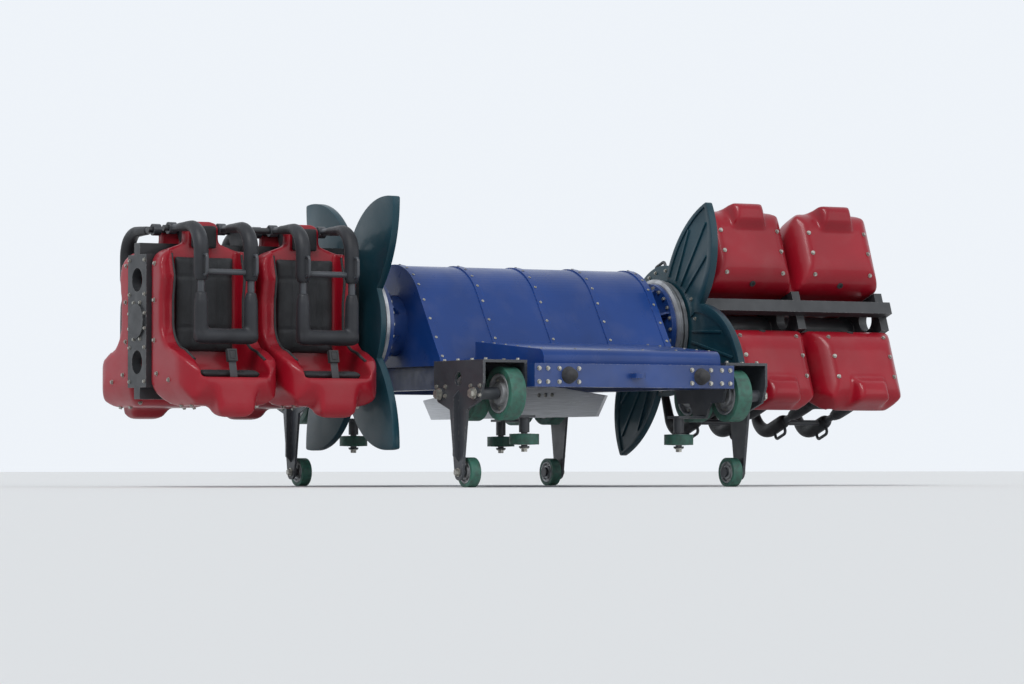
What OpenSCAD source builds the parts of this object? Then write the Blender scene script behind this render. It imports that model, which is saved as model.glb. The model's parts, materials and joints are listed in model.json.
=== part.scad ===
// Roller coaster car with a seat unit outboard of each rail. Each unit carries two seats facing
// forward and two facing back, and turns freely about one axle across the car.
// X is the way the car travels, Y points to the left seat unit, Z is up. Millimetres.

/* [Track] */
// Distance between the centre lines of the two rails
gauge = 1600; // [1500:10:1700]
// Width of the rail that the wheels hold
rail_w = 320; // [280:5:340]
// Height of the rail between running wheel and up-stop wheel
rail_h = 220; // [180:5:260]

/* [Wheels] */
// Distance between the front and the rear bogies
wheel_base = 2200; // [2150:10:2300]
// Distance between the two running wheels of a bogie
tandem = 420; // [400:5:450]
// Radius of a running wheel
run_r = 160; // [140:5:175]
// Width of a running wheel
run_w = 110; // [90:5:125]
// Radius of an up-stop wheel
up_r = 90; // [75:5:100]
// Radius of a guide wheel
guide_r = 90; // [75:5:100]
// Width of an up-stop or guide wheel
small_w = 70; // [55:5:80]
// Radius of the running axles
run_pin_r = 25; // [20:1:30]
// Radius of the up-stop and guide axles
small_pin_r = 20; // [16:1:24]

/* [Chassis] */
// Thickness of the bogie plates
plate_t = 16; // [12:1:20]
// Width of a side beam
beam_w = 120; // [90:5:140]
// Height of a side beam
beam_h = 140; // [110:5:160]
// Length along X of an end beam
end_beam_l = 90; // [70:5:120]
// Height of the seat axle above the top of the rail
axle_rise = 600; // [580:10:680]
// Radius of the axle housing
housing_r = 190; // [170:5:205]
// Radius of the centre cowl over the axle housing
cowl_r = 375; // [340:5:400]
// Wall of the cowls
cowl_t = 10; // [8:1:16]
// Radius of the hole in each towing eye
tow_r = 16; // [12:1:20]

/* [Seat units] */
// Distance between the middles of two seats side by side
seat_pitch = 680; // [670:5:720]
// Width of one seat shell
seat_w = 640; // [600:5:660]
// Width of the seat between its side walls
seat_in_w = 450; // [420:5:470]
// Height of the headrest above the axle
head_z = 600; // [570:5:640]
// Height of the seat surface below the axle
sit_z = 345; // [320:5:360]
// Distance from the middle of the unit to the back of a shell
back_x = 130; // [120:2:140]
// Thickness of the seat pads
pad_t = 42; // [30:2:50]
// Radius of the padded tube of a restraint
pad_tube_r = 46; // [36:2:50]
// Distance from the middle of a restraint to the middle of its arm
arm_y = 165; // [160:1:175]
// Turn of the left seat unit about its axle
left_turn = -110; // [-180:5:180]
// Turn of the right seat unit about its axle
right_turn = 0; // [-180:5:180]

/* [Fins] */
// Distance from the axle to the tip of a fin
fin_l = 960; // [900:10:980]
// Widest part of a fin
fin_w = 460; // [400:10:500]
// Angle of a fin above the horizontal
fin_angle = 53; // [50:1:62]
// Thickness of the fin plate
fin_t = 36; // [30:2:40]

/* [Hidden] */
$fn = 48;
CORNERS = [["front_left", 1, 1], ["front_right", 1, -1], ["rear_left", -1, 1], ["rear_right", -1, -1]];
SIDES = [["left", 1, left_turn], ["right", -1, right_turn]];
ROWS = [["front", 1], ["rear", -1]];
SEATS = [["inner", 0], ["outer", 1]];
ENDS = [["front", 1], ["rear", -1]];

turn_gap = 6;
pin_gap = 0.08;
wheel_gap = 25;
nut_t = 12;

rail_top = 2 * up_r + rail_h;
run_z = rail_top + run_r;
axle_z = rail_top + axle_rise;
bogie_top = run_z + run_r + 40;
bogie_half = tandem / 2 + 90;
beam_l = wheel_base + 2 * bogie_half;
in_face = -(run_w / 2 + wheel_gap);
out_face = rail_w / 2 + 30;
beam_out = gauge / 2 + in_face - plate_t;
beam_in = beam_out - beam_w;
beam_top = bogie_top - 20;
beam_bottom = beam_top - beam_h;
end_x = beam_l / 2 + end_beam_l;
guide_y = -(rail_w / 2 + guide_r);
guide_z = rail_top - rail_h / 2;
guide_lug_z = rail_top + 20;
up_y = out_face - wheel_gap - small_w / 2;

cross_x = 480;
cross_w = 80;
cowl_y = beam_out + 150;
cowl_foot_x = 620;
ring_r = 330;
ring_t = 45;
ring_y = gauge / 2 + 240;
hub_y = ring_y + ring_t + turn_gap;
hub_t = 38;
shaft_r = 80;
shaft_in = 170;
fin_y = hub_y + hub_t;
frame_y = fin_y + fin_t;
post_t = 60;
seat_y = frame_y + post_t + 20;
unit_end = seat_y + 2 * seat_pitch;
tube_r = 105;
post_z = 400;
spine_x = 40;
spine_h = 70;
hinge_x = 110;
hinge_z = 560;
rod_r = 18;
boss_r = 36;
boss_w = 50;
shoulder_z = 430;
head_w = 225;
seat_line_x = back_x + 65;
pan_x = 640;
keel_w = 260;
heel_r = 40;
lip_r = 190;
arm_reach = 410;
bend_r = 150;
lap_drop = 660;
lap_r = 50;

// Points along an arc in the plane, from angle a0 to angle a1
function arc(cx, cy, r, a0, a1, steps = 8) =
    [for (i = [0:steps]) let (a = a0 + (a1 - a0) * i / steps) [cx + r * cos(a), cy + r * sin(a)]];

// Points of an outline mirrored about the vertical, in the order that closes it
function both_sides(half) = concat(half, [for (i = [len(half) - 1:-1:0]) [-half[i][0], half[i][1]]]);

// A flat outline in X and Z becomes a plate from y0, t thick along +Y
module plate_xz(y0, t) {
    translate([0, y0 + t, 0]) rotate([90, 0, 0]) linear_extrude(t) children();
}

// A round bar along +Y from y0, l long
module bar_y(x, y0, z, r, l) {
    translate([x, y0, z]) rotate([-90, 0, 0]) cylinder(r = r, h = l);
}

// Box given by its lowest and highest corner
module span(lo, hi) {
    translate(lo) cube(hi - lo);
}

// Places a bogie piece at its corner, with +Y pointing away from the car
module at_corner(c) {
    mirror([0, c[2] < 0 ? 1 : 0, 0]) translate([c[1] * wheel_base / 2, gauge / 2, 0]) children();
}

module side_beam() {
    color("royalblue") span([-beam_l / 2, beam_in, beam_bottom], [beam_l / 2, beam_out, beam_top]);
}

// End beam with its towing eye
module end_beam() {
    eye_t = 30;
    eye_x = end_x + 45;
    mid_z = (beam_top + beam_bottom) / 2;
    color("royalblue") difference() {
        union() {
            span([beam_l / 2, -beam_out, beam_bottom], [end_x, beam_out, beam_top]);
            span([end_x - 5, -2.2 * tow_r, mid_z - eye_t / 2], [eye_x, 2.2 * tow_r, mid_z + eye_t / 2]);
            translate([eye_x, 0, mid_z - eye_t / 2]) cylinder(r = 2.2 * tow_r, h = eye_t);
        }
        translate([eye_x, 0, mid_z - eye_t]) cylinder(r = tow_r, h = 2 * eye_t);
    }
}

module cross_members() {
    color("royalblue") for (sx = [-1, 1])
        translate([sx * cross_x, 0, 0])
            span([-cross_w / 2, -beam_in, beam_bottom + 20], [cross_w / 2, beam_in, beam_top - 20]);
}

// The two pedestals that seat the axle housing on the side beams
module pedestals() {
    foot = 420;
    shoulder = housing_r + 60;
    color("royalblue") for (sy = [0, 1]) mirror([0, sy, 0])
        difference() {
            plate_xz(beam_in + 10, beam_w - 20)
                polygon([[-foot, beam_top], [foot, beam_top], [shoulder, axle_z], [-shoulder, axle_z]]);
            bar_y(0, beam_in, axle_z, housing_r, beam_w);
            for (sx = [-1, 1]) bar_y(sx * 275, beam_in, beam_top + 75, 38, beam_w);
        }
}

// Tube across the car, with a flange and eight gussets at each end
module axle_housing() {
    flange_r = ring_r - 30;
    flange_t = 32;
    gusset_l = 110;
    gusset_t = 12;
    color("royalblue") difference() {
        union() {
            bar_y(0, -ring_y, axle_z, housing_r, 2 * ring_y);
            for (sy = [0, 1]) mirror([0, sy, 0]) {
                bar_y(0, ring_y - flange_t, axle_z, flange_r, flange_t);
                for (a = [22.5:45:337.5])
                    translate([0, ring_y - flange_t + 1, axle_z]) rotate([0, a, 0])
                        translate([-gusset_t / 2, 0, 0]) rotate([90, 0, 90]) linear_extrude(gusset_t)
                            polygon([[-gusset_l, housing_r - 5], [0, housing_r - 5], [0, flange_r - 20],
                                     [-20, flange_r - 20]]);
            }
        }
        for (sy = [0, 1]) mirror([0, sy, 0])
            bar_y(0, ring_y - shaft_in - 10, axle_z, shaft_r + pin_gap, shaft_in + 20);
    }
}

// The fixed rings that the hubs turn against
module slew_rings() {
    color("gray") for (sy = [0, 1]) mirror([0, sy, 0])
        translate([0, ring_y, axle_z]) rotate([-90, 0, 0]) rotate_extrude()
            polygon([[shaft_r + 10, 0], [ring_r - 20, 0], [ring_r, 12], [ring_r, ring_t - 12],
                     [ring_r - 12, ring_t], [shaft_r + 10, ring_t]]);
}

// Outline of the centre cowl, with a round top and straight skirts down to the side beams
function cowl_outline(r, foot) =
    let (a = asin(r / norm([foot, axle_z - beam_top])) + atan2(axle_z - beam_top, foot))
    both_sides(concat([[foot, beam_top]], arc(0, axle_z, r, 90 - a, 90, 14)));

// Hollow cowl over the axle housing, with raised bands where its panels join
module centre_cowl() {
    band_w = 44;
    band_t = 7;
    color("royalblue") difference() {
        union() {
            plate_xz(-cowl_y, 2 * cowl_y) polygon(cowl_outline(cowl_r, cowl_foot_x));
            for (k = [-1:0.5:1]) plate_xz(k * (cowl_y - band_w / 2) - band_w / 2, band_w)
                polygon(cowl_outline(cowl_r + band_t, cowl_foot_x + 1.3 * band_t));
        }
        plate_xz(-cowl_y + cowl_t, 2 * (cowl_y - cowl_t)) difference() {
            polygon(cowl_outline(cowl_r - cowl_t, cowl_foot_x - 1.3 * cowl_t));
        }
        bar_y(0, -cowl_y - 1, axle_z, housing_r + 1, 2 * cowl_y + 2);
    }
}

// Hood over one end of the chassis, between the side beams
module end_cowl() {
    rear_x = cowl_foot_x + 12;
    front_x = end_x - 30;
    nose_r = 60;
    hood_z = beam_top + 150;
    outer = concat([[rear_x, beam_top + 1], [rear_x, hood_z]],
                   arc(front_x - nose_r, beam_top + 30, nose_r, 75, 0, 8), [[front_x, beam_top + 1]]);
    inner = concat([[rear_x + cowl_t, beam_top - 9], [rear_x + cowl_t, hood_z - cowl_t - 2]],
                   arc(front_x - nose_r, beam_top + 30, nose_r - cowl_t, 75, 0, 8), [[front_x - cowl_t, beam_top - 9]]);
    half = beam_in + 40;
    color("royalblue") translate([0, 0, -1]) difference() {
        plate_xz(-half, 2 * half) polygon(outer);
        plate_xz(-half + cowl_t, 2 * (half - cowl_t)) polygon(inner);
    }
}

module buffers() {
    color("black") for (sx = [0, 1], sy = [-1, 1]) mirror([sx, 0, 0])
        translate([end_x, sy * 0.8 * beam_in, (beam_top + beam_bottom) / 2]) rotate([0, 90, 0]) rotate_extrude()
            polygon(concat([[0, 0], [52, 0], [40, 30]], arc(0, 30, 40, 0, 90, 6)));
}

// Long conductor fin for the track's magnetic brakes, hung under the cross members
module brake_fin() {
    half = wheel_base / 2 + 50;
    top = beam_bottom + 20;
    depth = 190;
    slope = 110;
    neck = cross_x + 60;
    color("silver") plate_xz(-10, 20)
        polygon([[-half, top - depth / 3], [slope - half, top - depth], [half - slope, top - depth],
                 [half, top - depth / 3], [neck, top], [-neck, top]]);
}

// Side outline of a bogie's inner plate, with the tongue that carries the guide wheel
module inner_plate() {
    low = run_z - 45;
    union() {
        polygon([[-bogie_half, bogie_top], [bogie_half, bogie_top], [bogie_half, run_z + 60],
                 [bogie_half - 45, low], [45 - bogie_half, low], [-bogie_half, run_z + 60]]);
        polygon([[-120, low + 1], [120, low + 1], [65, guide_lug_z], [-65, guide_lug_z]]);
    }
}

// Side outline of a bogie's outer plate, with the arm that reaches round the rail to the up-stop wheel
module outer_plate() {
    low = run_z - 45;
    union() {
        polygon([[-bogie_half, bogie_top], [bogie_half, bogie_top], [bogie_half, run_z + 60],
                 [bogie_half - 45, low], [105, low - 50], [48, up_r], [-48, up_r], [-105, low - 50],
                 [45 - bogie_half, low], [-bogie_half, run_z + 60]]);
        translate([0, up_r]) circle(r = 48);
    }
}

// Two plates under a lid, with the axle pins and the arms of the guide and up-stop wheels
module bogie() {
    rib_t = 14;
    rib_l = 36;
    color("dimgray") difference() {
        union() {
            plate_xz(in_face - plate_t, plate_t) inner_plate();
            plate_xz(out_face, plate_t) outer_plate();
            span([-bogie_half, in_face - plate_t, bogie_top - plate_t],
                 [bogie_half, out_face + plate_t, bogie_top]);
            span([-65, guide_y - 40, guide_lug_z], [65, in_face, guide_lug_z + plate_t]);
            translate([-rib_t / 2, out_face + plate_t - 1, 0]) rotate([90, 0, 90]) linear_extrude(rib_t)
                polygon([[0, up_r + 60], [rib_l, up_r + 100], [rib_l, run_z - 20], [0, run_z + 20]]);
            for (sx = [-1, 1]) {
                bar_y(sx * tandem / 2, in_face - plate_t + 1, run_z, run_pin_r,
                      out_face + plate_t + nut_t - in_face + plate_t - 1);
                bar_y(sx * tandem / 2, out_face + plate_t, run_z, run_pin_r + 12, nut_t);
                bar_y(sx * tandem / 2, run_w / 2 + turn_gap, run_z, run_pin_r + 12, out_face - run_w / 2 - turn_gap + 1);
                bar_y(sx * tandem / 2, in_face - 1, run_z, run_pin_r + 12, wheel_gap - turn_gap + 1);
            }
            bar_y(0, up_y - small_w / 2 - turn_gap - nut_t, up_r, small_pin_r, out_face - up_y + small_w / 2 + turn_gap + nut_t + 2);
            bar_y(0, up_y - small_w / 2 - turn_gap - nut_t, up_r, small_pin_r + 12, nut_t);
            bar_y(0, up_y + small_w / 2 + turn_gap, up_r, small_pin_r + 12, out_face - up_y - small_w / 2 - turn_gap + 1);
            translate([0, guide_y, guide_z - small_w / 2 - turn_gap - nut_t])
                cylinder(r = small_pin_r, h = guide_lug_z - guide_z + small_w / 2 + turn_gap + nut_t + 1);
            translate([0, guide_y, guide_z - small_w / 2 - turn_gap - nut_t])
                cylinder(r = small_pin_r + 12, h = nut_t);
            translate([0, guide_y, guide_z + small_w / 2 + turn_gap])
                cylinder(r = small_pin_r + 12, h = guide_lug_z - guide_z - small_w / 2 - turn_gap + 1);
        }
        bar_y(0, in_face - plate_t - 1, bogie_top - 110, 42, 3 * rail_w);
    }
}

// A wheel round the Z axis: hub, thinner web, rim and tyre
module wheel(r, w, bore) {
    hub_r = bore + 0.25 * r;
    rim_r = 0.74 * r;
    tyre_edge = 0.1 * w;
    rotate_extrude(convexity = 4)
        polygon([[bore, -w / 2], [hub_r, -w / 2], [hub_r + 4, -w / 5], [rim_r - 8, -w / 5], [rim_r, -0.46 * w],
                 [r - tyre_edge, -0.46 * w], [r, -0.46 * w + tyre_edge], [r, 0.46 * w - tyre_edge],
                 [r - tyre_edge, 0.46 * w], [rim_r, 0.46 * w], [rim_r - 8, w / 5], [hub_r + 4, w / 5],
                 [hub_r, w / 2], [bore, w / 2]]);
}

module run_wheel(sx) {
    color("seagreen") translate([sx * tandem / 2, 0, run_z]) rotate([90, 0, 0])
        wheel(run_r, run_w, run_pin_r + pin_gap);
}

module guide_wheel() {
    color("seagreen") translate([0, guide_y, guide_z]) wheel(guide_r, small_w, small_pin_r + pin_gap);
}

module upstop_wheel() {
    color("seagreen") translate([0, up_y, up_r]) rotate([90, 0, 0])
        wheel(up_r, small_w, small_pin_r + pin_gap);
}

// Places a seat unit's piece: on the left or the right, and turned about the axle
module at_unit(s) {
    mirror([0, s[1] < 0 ? 1 : 0, 0]) translate([0, 0, axle_z]) rotate([0, s[2], 0]) children();
}

// Faces a row's piece forward or back
module at_row(r) {
    mirror([r[1] < 0 ? 1 : 0, 0, 0]) children();
}

// Lug that carries the hinge rods, cut flat where the shells' backs lie against it
module hinge_lug() {
    intersection() {
        union() {
            polygon([[-spine_x, post_z], [spine_x, post_z], [hinge_x + 26, hinge_z - 12],
                     [hinge_x - 20, hinge_z + 20], [20 - hinge_x, hinge_z + 20], [-hinge_x - 26, hinge_z - 12]]);
            for (sx = [-1, 1]) translate([sx * hinge_x, hinge_z]) circle(r = rod_r + 12);
        }
        square([2 * back_x, 4 * post_z], center = true);
    }
}

// Steel frame of a seat unit: shaft, torque tube, three posts, spine beams and the restraints' hinge rods
module unit_frame() {
    mid_y = seat_y + seat_pitch;
    post_y = [frame_y, mid_y - post_t / 2, unit_end - post_t];
    lug_y = [seat_y + seat_pitch / 2, mid_y, seat_y + 1.5 * seat_pitch];
    lug_t = 24;
    color("dimgray") union() {
        bar_y(0, ring_y - shaft_in, 0, shaft_r, frame_y - ring_y + shaft_in + 2);
        bar_y(0, frame_y, 0, tube_r, unit_end - frame_y + 12);
        for (y = post_y)
            plate_xz(y, post_t) difference() {
                square([2 * back_x, 2 * post_z], center = true);
                for (sz = [-1, 1]) translate([0, sz * 0.62 * post_z]) circle(r = 0.55 * back_x);
            }
        for (sz = [-1, 1])
            span([-spine_x, frame_y, sz > 0 ? post_z - 2 : -post_z - spine_h],
                 [spine_x, unit_end, sz > 0 ? post_z + spine_h : 2 - post_z]);
        for (y = lug_y) plate_xz(y - lug_t / 2, lug_t) hinge_lug();
        for (sx = [-1, 1]) bar_y(sx * hinge_x, lug_y[0] - 220, hinge_z, rod_r, lug_y[2] - lug_y[0] + 440);
    }
}

module hub_flange() {
    color("gray") difference() {
        union() {
            bar_y(0, hub_y, 0, ring_r - 10, hub_t - 14);
            bar_y(0, hub_y, 0, ring_r - 60, hub_t);
        }
        bar_y(0, hub_y - 1, 0, shaft_r + 0.3, hub_t + 2);
        for (a = [0:30:330])
            rotate([0, a, 0]) bar_y(ring_r - 35, hub_y - 1, 0, 11, hub_t);
    }
}

// Radius of an arc that stands h high over a chord l long
function bow_r(l, h) = (pow(l / 2, 2) + pow(h, 2)) / (2 * h);

// One fin from the axle to its tip, fuller on its upper side
module fin_leaf(l, w) {
    full = bow_r(l, 0.64 * w);
    slim = bow_r(l, 0.36 * w);
    intersection() {
        translate([l / 2, 0.64 * w - full]) circle(r = full, $fn = 180);
        translate([l / 2, slim - 0.36 * w]) circle(r = slim, $fn = 180);
        circle(r = l - 5, $fn = 120);
    }
}

// Places a flat fin at each of the four corners of the shield
module at_fin() {
    for (mx = [0, 1], mz = [0, 1]) mirror([mx, 0, 0]) mirror([0, mz, 0]) rotate(fin_angle) children();
}

// Shield between seats and chassis, with four fins, their beaded rims and three veins on each
module fin_shield() {
    rib_t = 10;
    vein_w = 14;
    vein_start = ring_r + 22;
    color("darkslategray") difference() {
        union() {
            plate_xz(fin_y, fin_t) union() {
                circle(r = 0.44 * fin_l, $fn = 120);
                at_fin() fin_leaf(fin_l, fin_w);
            }
            plate_xz(fin_y - rib_t, rib_t + 1) at_fin() difference() {
                fin_leaf(fin_l, fin_w);
                translate([0.035 * fin_l, 0]) fin_leaf(0.93 * fin_l, 0.8 * fin_w);
                circle(r = ring_r + 20);
            }
            plate_xz(fin_y - rib_t, rib_t + 1) at_fin()
                for (vein = [[-7, 0.74], [4, 0.88], [15, 0.72]]) rotate(vein[0])
                    translate([vein_start, -vein_w / 2]) square([vein[1] * fin_l - vein_start, vein_w]);
        }
        bar_y(0, fin_y - 1, 0, shaft_r + 0.3, fin_t + 2);
    }
}

// Side outline of a seat shell, from its back round under the pan to the lip and up the side wall
function shell_side() = concat(
    [[back_x, head_z], [back_x, -sit_z + 20]],
    arc(back_x + 190, -sit_z + 20, 190, 180, 270, 8),
    arc(pan_x - 110, -sit_z - 20, 150, 270, 380, 8),
    [[pan_x - 60, -sit_z + 105], [pan_x - 190, -sit_z + 165]],
    arc(pan_x - 180, -sit_z + 345, 180, 265, 190, 6),
    [[back_x + 150, 120], [back_x + 175, 260], [back_x + 125, shoulder_z], [back_x + 75, head_z]]);

// Space in front of the seat surface
function cavity_side() = concat(
    [[seat_line_x, head_z + 50], [seat_line_x, -sit_z + 110]],
    arc(seat_line_x + 100, -sit_z + 100, 100, 180, 270, 6),
    [[pan_x + 200, -sit_z], [pan_x + 200, head_z + 50]]);

// Front outline of a seat: narrow head, shoulders, and a round lower edge
function shell_front() = both_sides(concat(
    arc(head_w / 2 - 50, head_z - 50, 50, 90, 0, 5),
    [[head_w / 2, shoulder_z + 40]],
    arc(seat_w / 2 - 110, shoulder_z - 110, 110, 80, 0, 6),
    arc(seat_w / 2 - 190, -sit_z, 190, 0, -90, 8)));

// Plan outline of a seat, across and along: a small radius at the back and a broad one at the lip
function shell_plan() = both_sides(concat(
    arc(seat_w / 2 - heel_r, back_x + heel_r, heel_r, -90, 0, 5),
    arc(seat_w / 2 - lip_r, pan_x + 50 - lip_r, lip_r, 0, 90, 8)));

// Side and front outlines of the keel below the lip
function keel_side() = concat(
    [[pan_x - 190, -sit_z - 60], [pan_x - 190, -sit_z - 120], [pan_x - 75, -sit_z - 230]],
    arc(pan_x - 18, -sit_z - 180, 60, 240, 360, 6), [[pan_x + 42, -sit_z - 20]]);
function keel_front() = both_sides(concat(
    [[keel_w / 2 + 15, -sit_z]], arc(keel_w / 2 - 70, -sit_z - 180, 60, 0, -90, 6)));

// Two seats moulded as one shell, facing +X, each with a keel below its front lip
module seat_shell() {
    deep = pan_x + 200;
    color("firebrick") for (e = SEATS)
        translate([0, seat_y + (e[1] + 0.5) * seat_pitch, 0]) union() {
            difference() {
                intersection() {
                    plate_xz(-seat_w / 2, seat_w) polygon(shell_side());
                    rotate([90, 0, 90]) linear_extrude(deep) polygon(shell_front());
                    translate([0, 0, -deep]) mirror([1, -1, 0]) linear_extrude(2 * deep) polygon(shell_plan());
                }
                plate_xz(-seat_in_w / 2, seat_in_w) polygon(cavity_side());
            }
            intersection() {
                plate_xz(-keel_w, 2 * keel_w) polygon(keel_side());
                rotate([90, 0, 90]) linear_extrude(deep) polygon(keel_front());
            }
        }
    bridge_w = seat_pitch - seat_w + 2 * heel_r;
    color("firebrick") plate_xz(seat_y + seat_pitch - bridge_w / 2, bridge_w)
        polygon([[back_x, 180], [back_x, -sit_z], [back_x + 110, -sit_z], [back_x + 60, 180]]);
}

// Back, seat and head pad of the two seats of a row
module seat_pads() {
    w = seat_in_w - 30;
    color("black") for (e = SEATS)
        translate([0, seat_y + (e[1] + 0.5) * seat_pitch, 0]) {
            span([seat_line_x, -w / 2, -sit_z + 140], [seat_line_x + pad_t, w / 2, shoulder_z - 30]);
            span([seat_line_x, -0.4 * head_w, shoulder_z], [seat_line_x + pad_t, 0.4 * head_w, head_z - 20]);
            plate_xz(-w / 2, w) polygon([[seat_line_x + 110, -sit_z], [pan_x - 20, -sit_z],
                [pan_x - 20, pad_t - 10 - sit_z], [pan_x - 60, pad_t - sit_z],
                [seat_line_x + 110, pad_t - sit_z]]);
        }
}

// Over-shoulder restraint of one seat, closed, hinged behind the shoulders
module restraint(e) {
    top_l = arm_reach - bend_r;
    drop = lap_drop - bend_r;
    color("black") translate([hinge_x, seat_y + (e[1] + 0.5) * seat_pitch, hinge_z]) {
        for (sy = [-1, 1]) translate([0, sy * arm_y, 0]) difference() {
            union() {
                bar_y(0, -boss_w / 2, 0, boss_r, boss_w);
                rotate([0, 90, 0]) cylinder(r = 22, h = 120);
                translate([100, 0, 0]) rotate([0, 90, 0]) cylinder(r = pad_tube_r, h = top_l - 100);
                translate([top_l, 0, -bend_r]) rotate([90, 0, 0]) rotate_extrude(angle = 90)
                    translate([bend_r, 0]) circle(r = pad_tube_r);
                translate([arm_reach, 0, -lap_drop]) cylinder(r = pad_tube_r, h = drop);
            }
            bar_y(0, -boss_w, 0, rod_r + pin_gap, 2 * boss_w);
        }
        bar_y(arm_reach, -arm_y - 40, -lap_drop, lap_r, 2 * arm_y + 80);
        bar_y(arm_reach, -arm_y, -0.42 * lap_drop, 20, 2 * arm_y);
    }
}

side_beam();  // side_beam_left
mirror([0, 1, 0]) side_beam();  // side_beam_right
end_beam();  // end_beam_front
mirror([1, 0, 0]) end_beam();  // end_beam_rear
cross_members();
pedestals();
axle_housing();
slew_rings();
centre_cowl();
end_cowl();  // front_cowl
mirror([1, 0, 0]) end_cowl();  // rear_cowl
buffers();
brake_fin();
for (c = CORNERS) {
    at_corner(c) bogie();
    at_corner(c) run_wheel(1);
    at_corner(c) run_wheel(-1);
    at_corner(c) guide_wheel();
    at_corner(c) upstop_wheel();
}
for (s = SIDES) {
    at_unit(s) unit_frame();
    at_unit(s) hub_flange();
    at_unit(s) fin_shield();
    for (r = ROWS) {
        at_unit(s) at_row(r) seat_shell();
        at_unit(s) at_row(r) seat_pads();
        for (e = SEATS)
            at_unit(s) at_row(r) restraint(e);
    }
}
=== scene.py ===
"""Dresses a roller coaster car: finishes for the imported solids, and modelled pieces over them.

Lengths are metres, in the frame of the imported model: X is the way the car travels, Y points to
the left seat unit and Z is up.
"""
import json
import logging
import math
from dataclasses import dataclass
from enum import Enum
from typing import Callable, Iterable, Optional, Sequence

import bpy
from mathutils import Matrix, Vector

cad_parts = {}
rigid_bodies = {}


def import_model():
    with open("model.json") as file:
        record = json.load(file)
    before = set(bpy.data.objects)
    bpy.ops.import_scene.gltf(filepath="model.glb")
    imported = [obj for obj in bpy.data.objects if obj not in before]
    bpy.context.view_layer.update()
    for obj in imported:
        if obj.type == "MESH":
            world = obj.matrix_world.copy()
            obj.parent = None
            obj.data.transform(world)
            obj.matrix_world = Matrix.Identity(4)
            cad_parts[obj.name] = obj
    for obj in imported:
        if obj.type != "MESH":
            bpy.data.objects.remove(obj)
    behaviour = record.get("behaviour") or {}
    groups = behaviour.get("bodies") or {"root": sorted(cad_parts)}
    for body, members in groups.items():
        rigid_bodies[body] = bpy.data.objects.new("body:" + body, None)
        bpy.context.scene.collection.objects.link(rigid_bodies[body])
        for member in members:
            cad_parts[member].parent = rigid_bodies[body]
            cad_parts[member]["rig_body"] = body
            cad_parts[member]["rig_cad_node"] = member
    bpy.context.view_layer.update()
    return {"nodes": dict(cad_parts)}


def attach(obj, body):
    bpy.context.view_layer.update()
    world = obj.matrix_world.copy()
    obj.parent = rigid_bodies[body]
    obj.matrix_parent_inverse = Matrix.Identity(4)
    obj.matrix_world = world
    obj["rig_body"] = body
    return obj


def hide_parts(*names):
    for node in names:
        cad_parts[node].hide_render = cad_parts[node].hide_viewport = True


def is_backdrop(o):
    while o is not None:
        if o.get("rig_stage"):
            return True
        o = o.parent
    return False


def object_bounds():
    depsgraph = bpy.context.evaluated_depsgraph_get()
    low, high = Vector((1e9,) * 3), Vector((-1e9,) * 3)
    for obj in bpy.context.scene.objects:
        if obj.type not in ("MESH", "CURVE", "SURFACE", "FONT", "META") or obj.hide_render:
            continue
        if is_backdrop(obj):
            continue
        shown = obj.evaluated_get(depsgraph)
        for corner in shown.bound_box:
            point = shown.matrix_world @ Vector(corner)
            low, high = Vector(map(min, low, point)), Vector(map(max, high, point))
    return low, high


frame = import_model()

log = logging.getLogger("coaster_car")

Colour = tuple[float, float, float]
Point = tuple[float, float, float]
Pair = tuple[float, float]

# A full turn in radians, as near as the lathe rings and the weave need it
TURN = 6.283

FORWARD = (1, 0, 0)
LEFTWARD = (0, 1, 0)
UP = (0, 0, 1)


# Sizes shared with the solids

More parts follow.
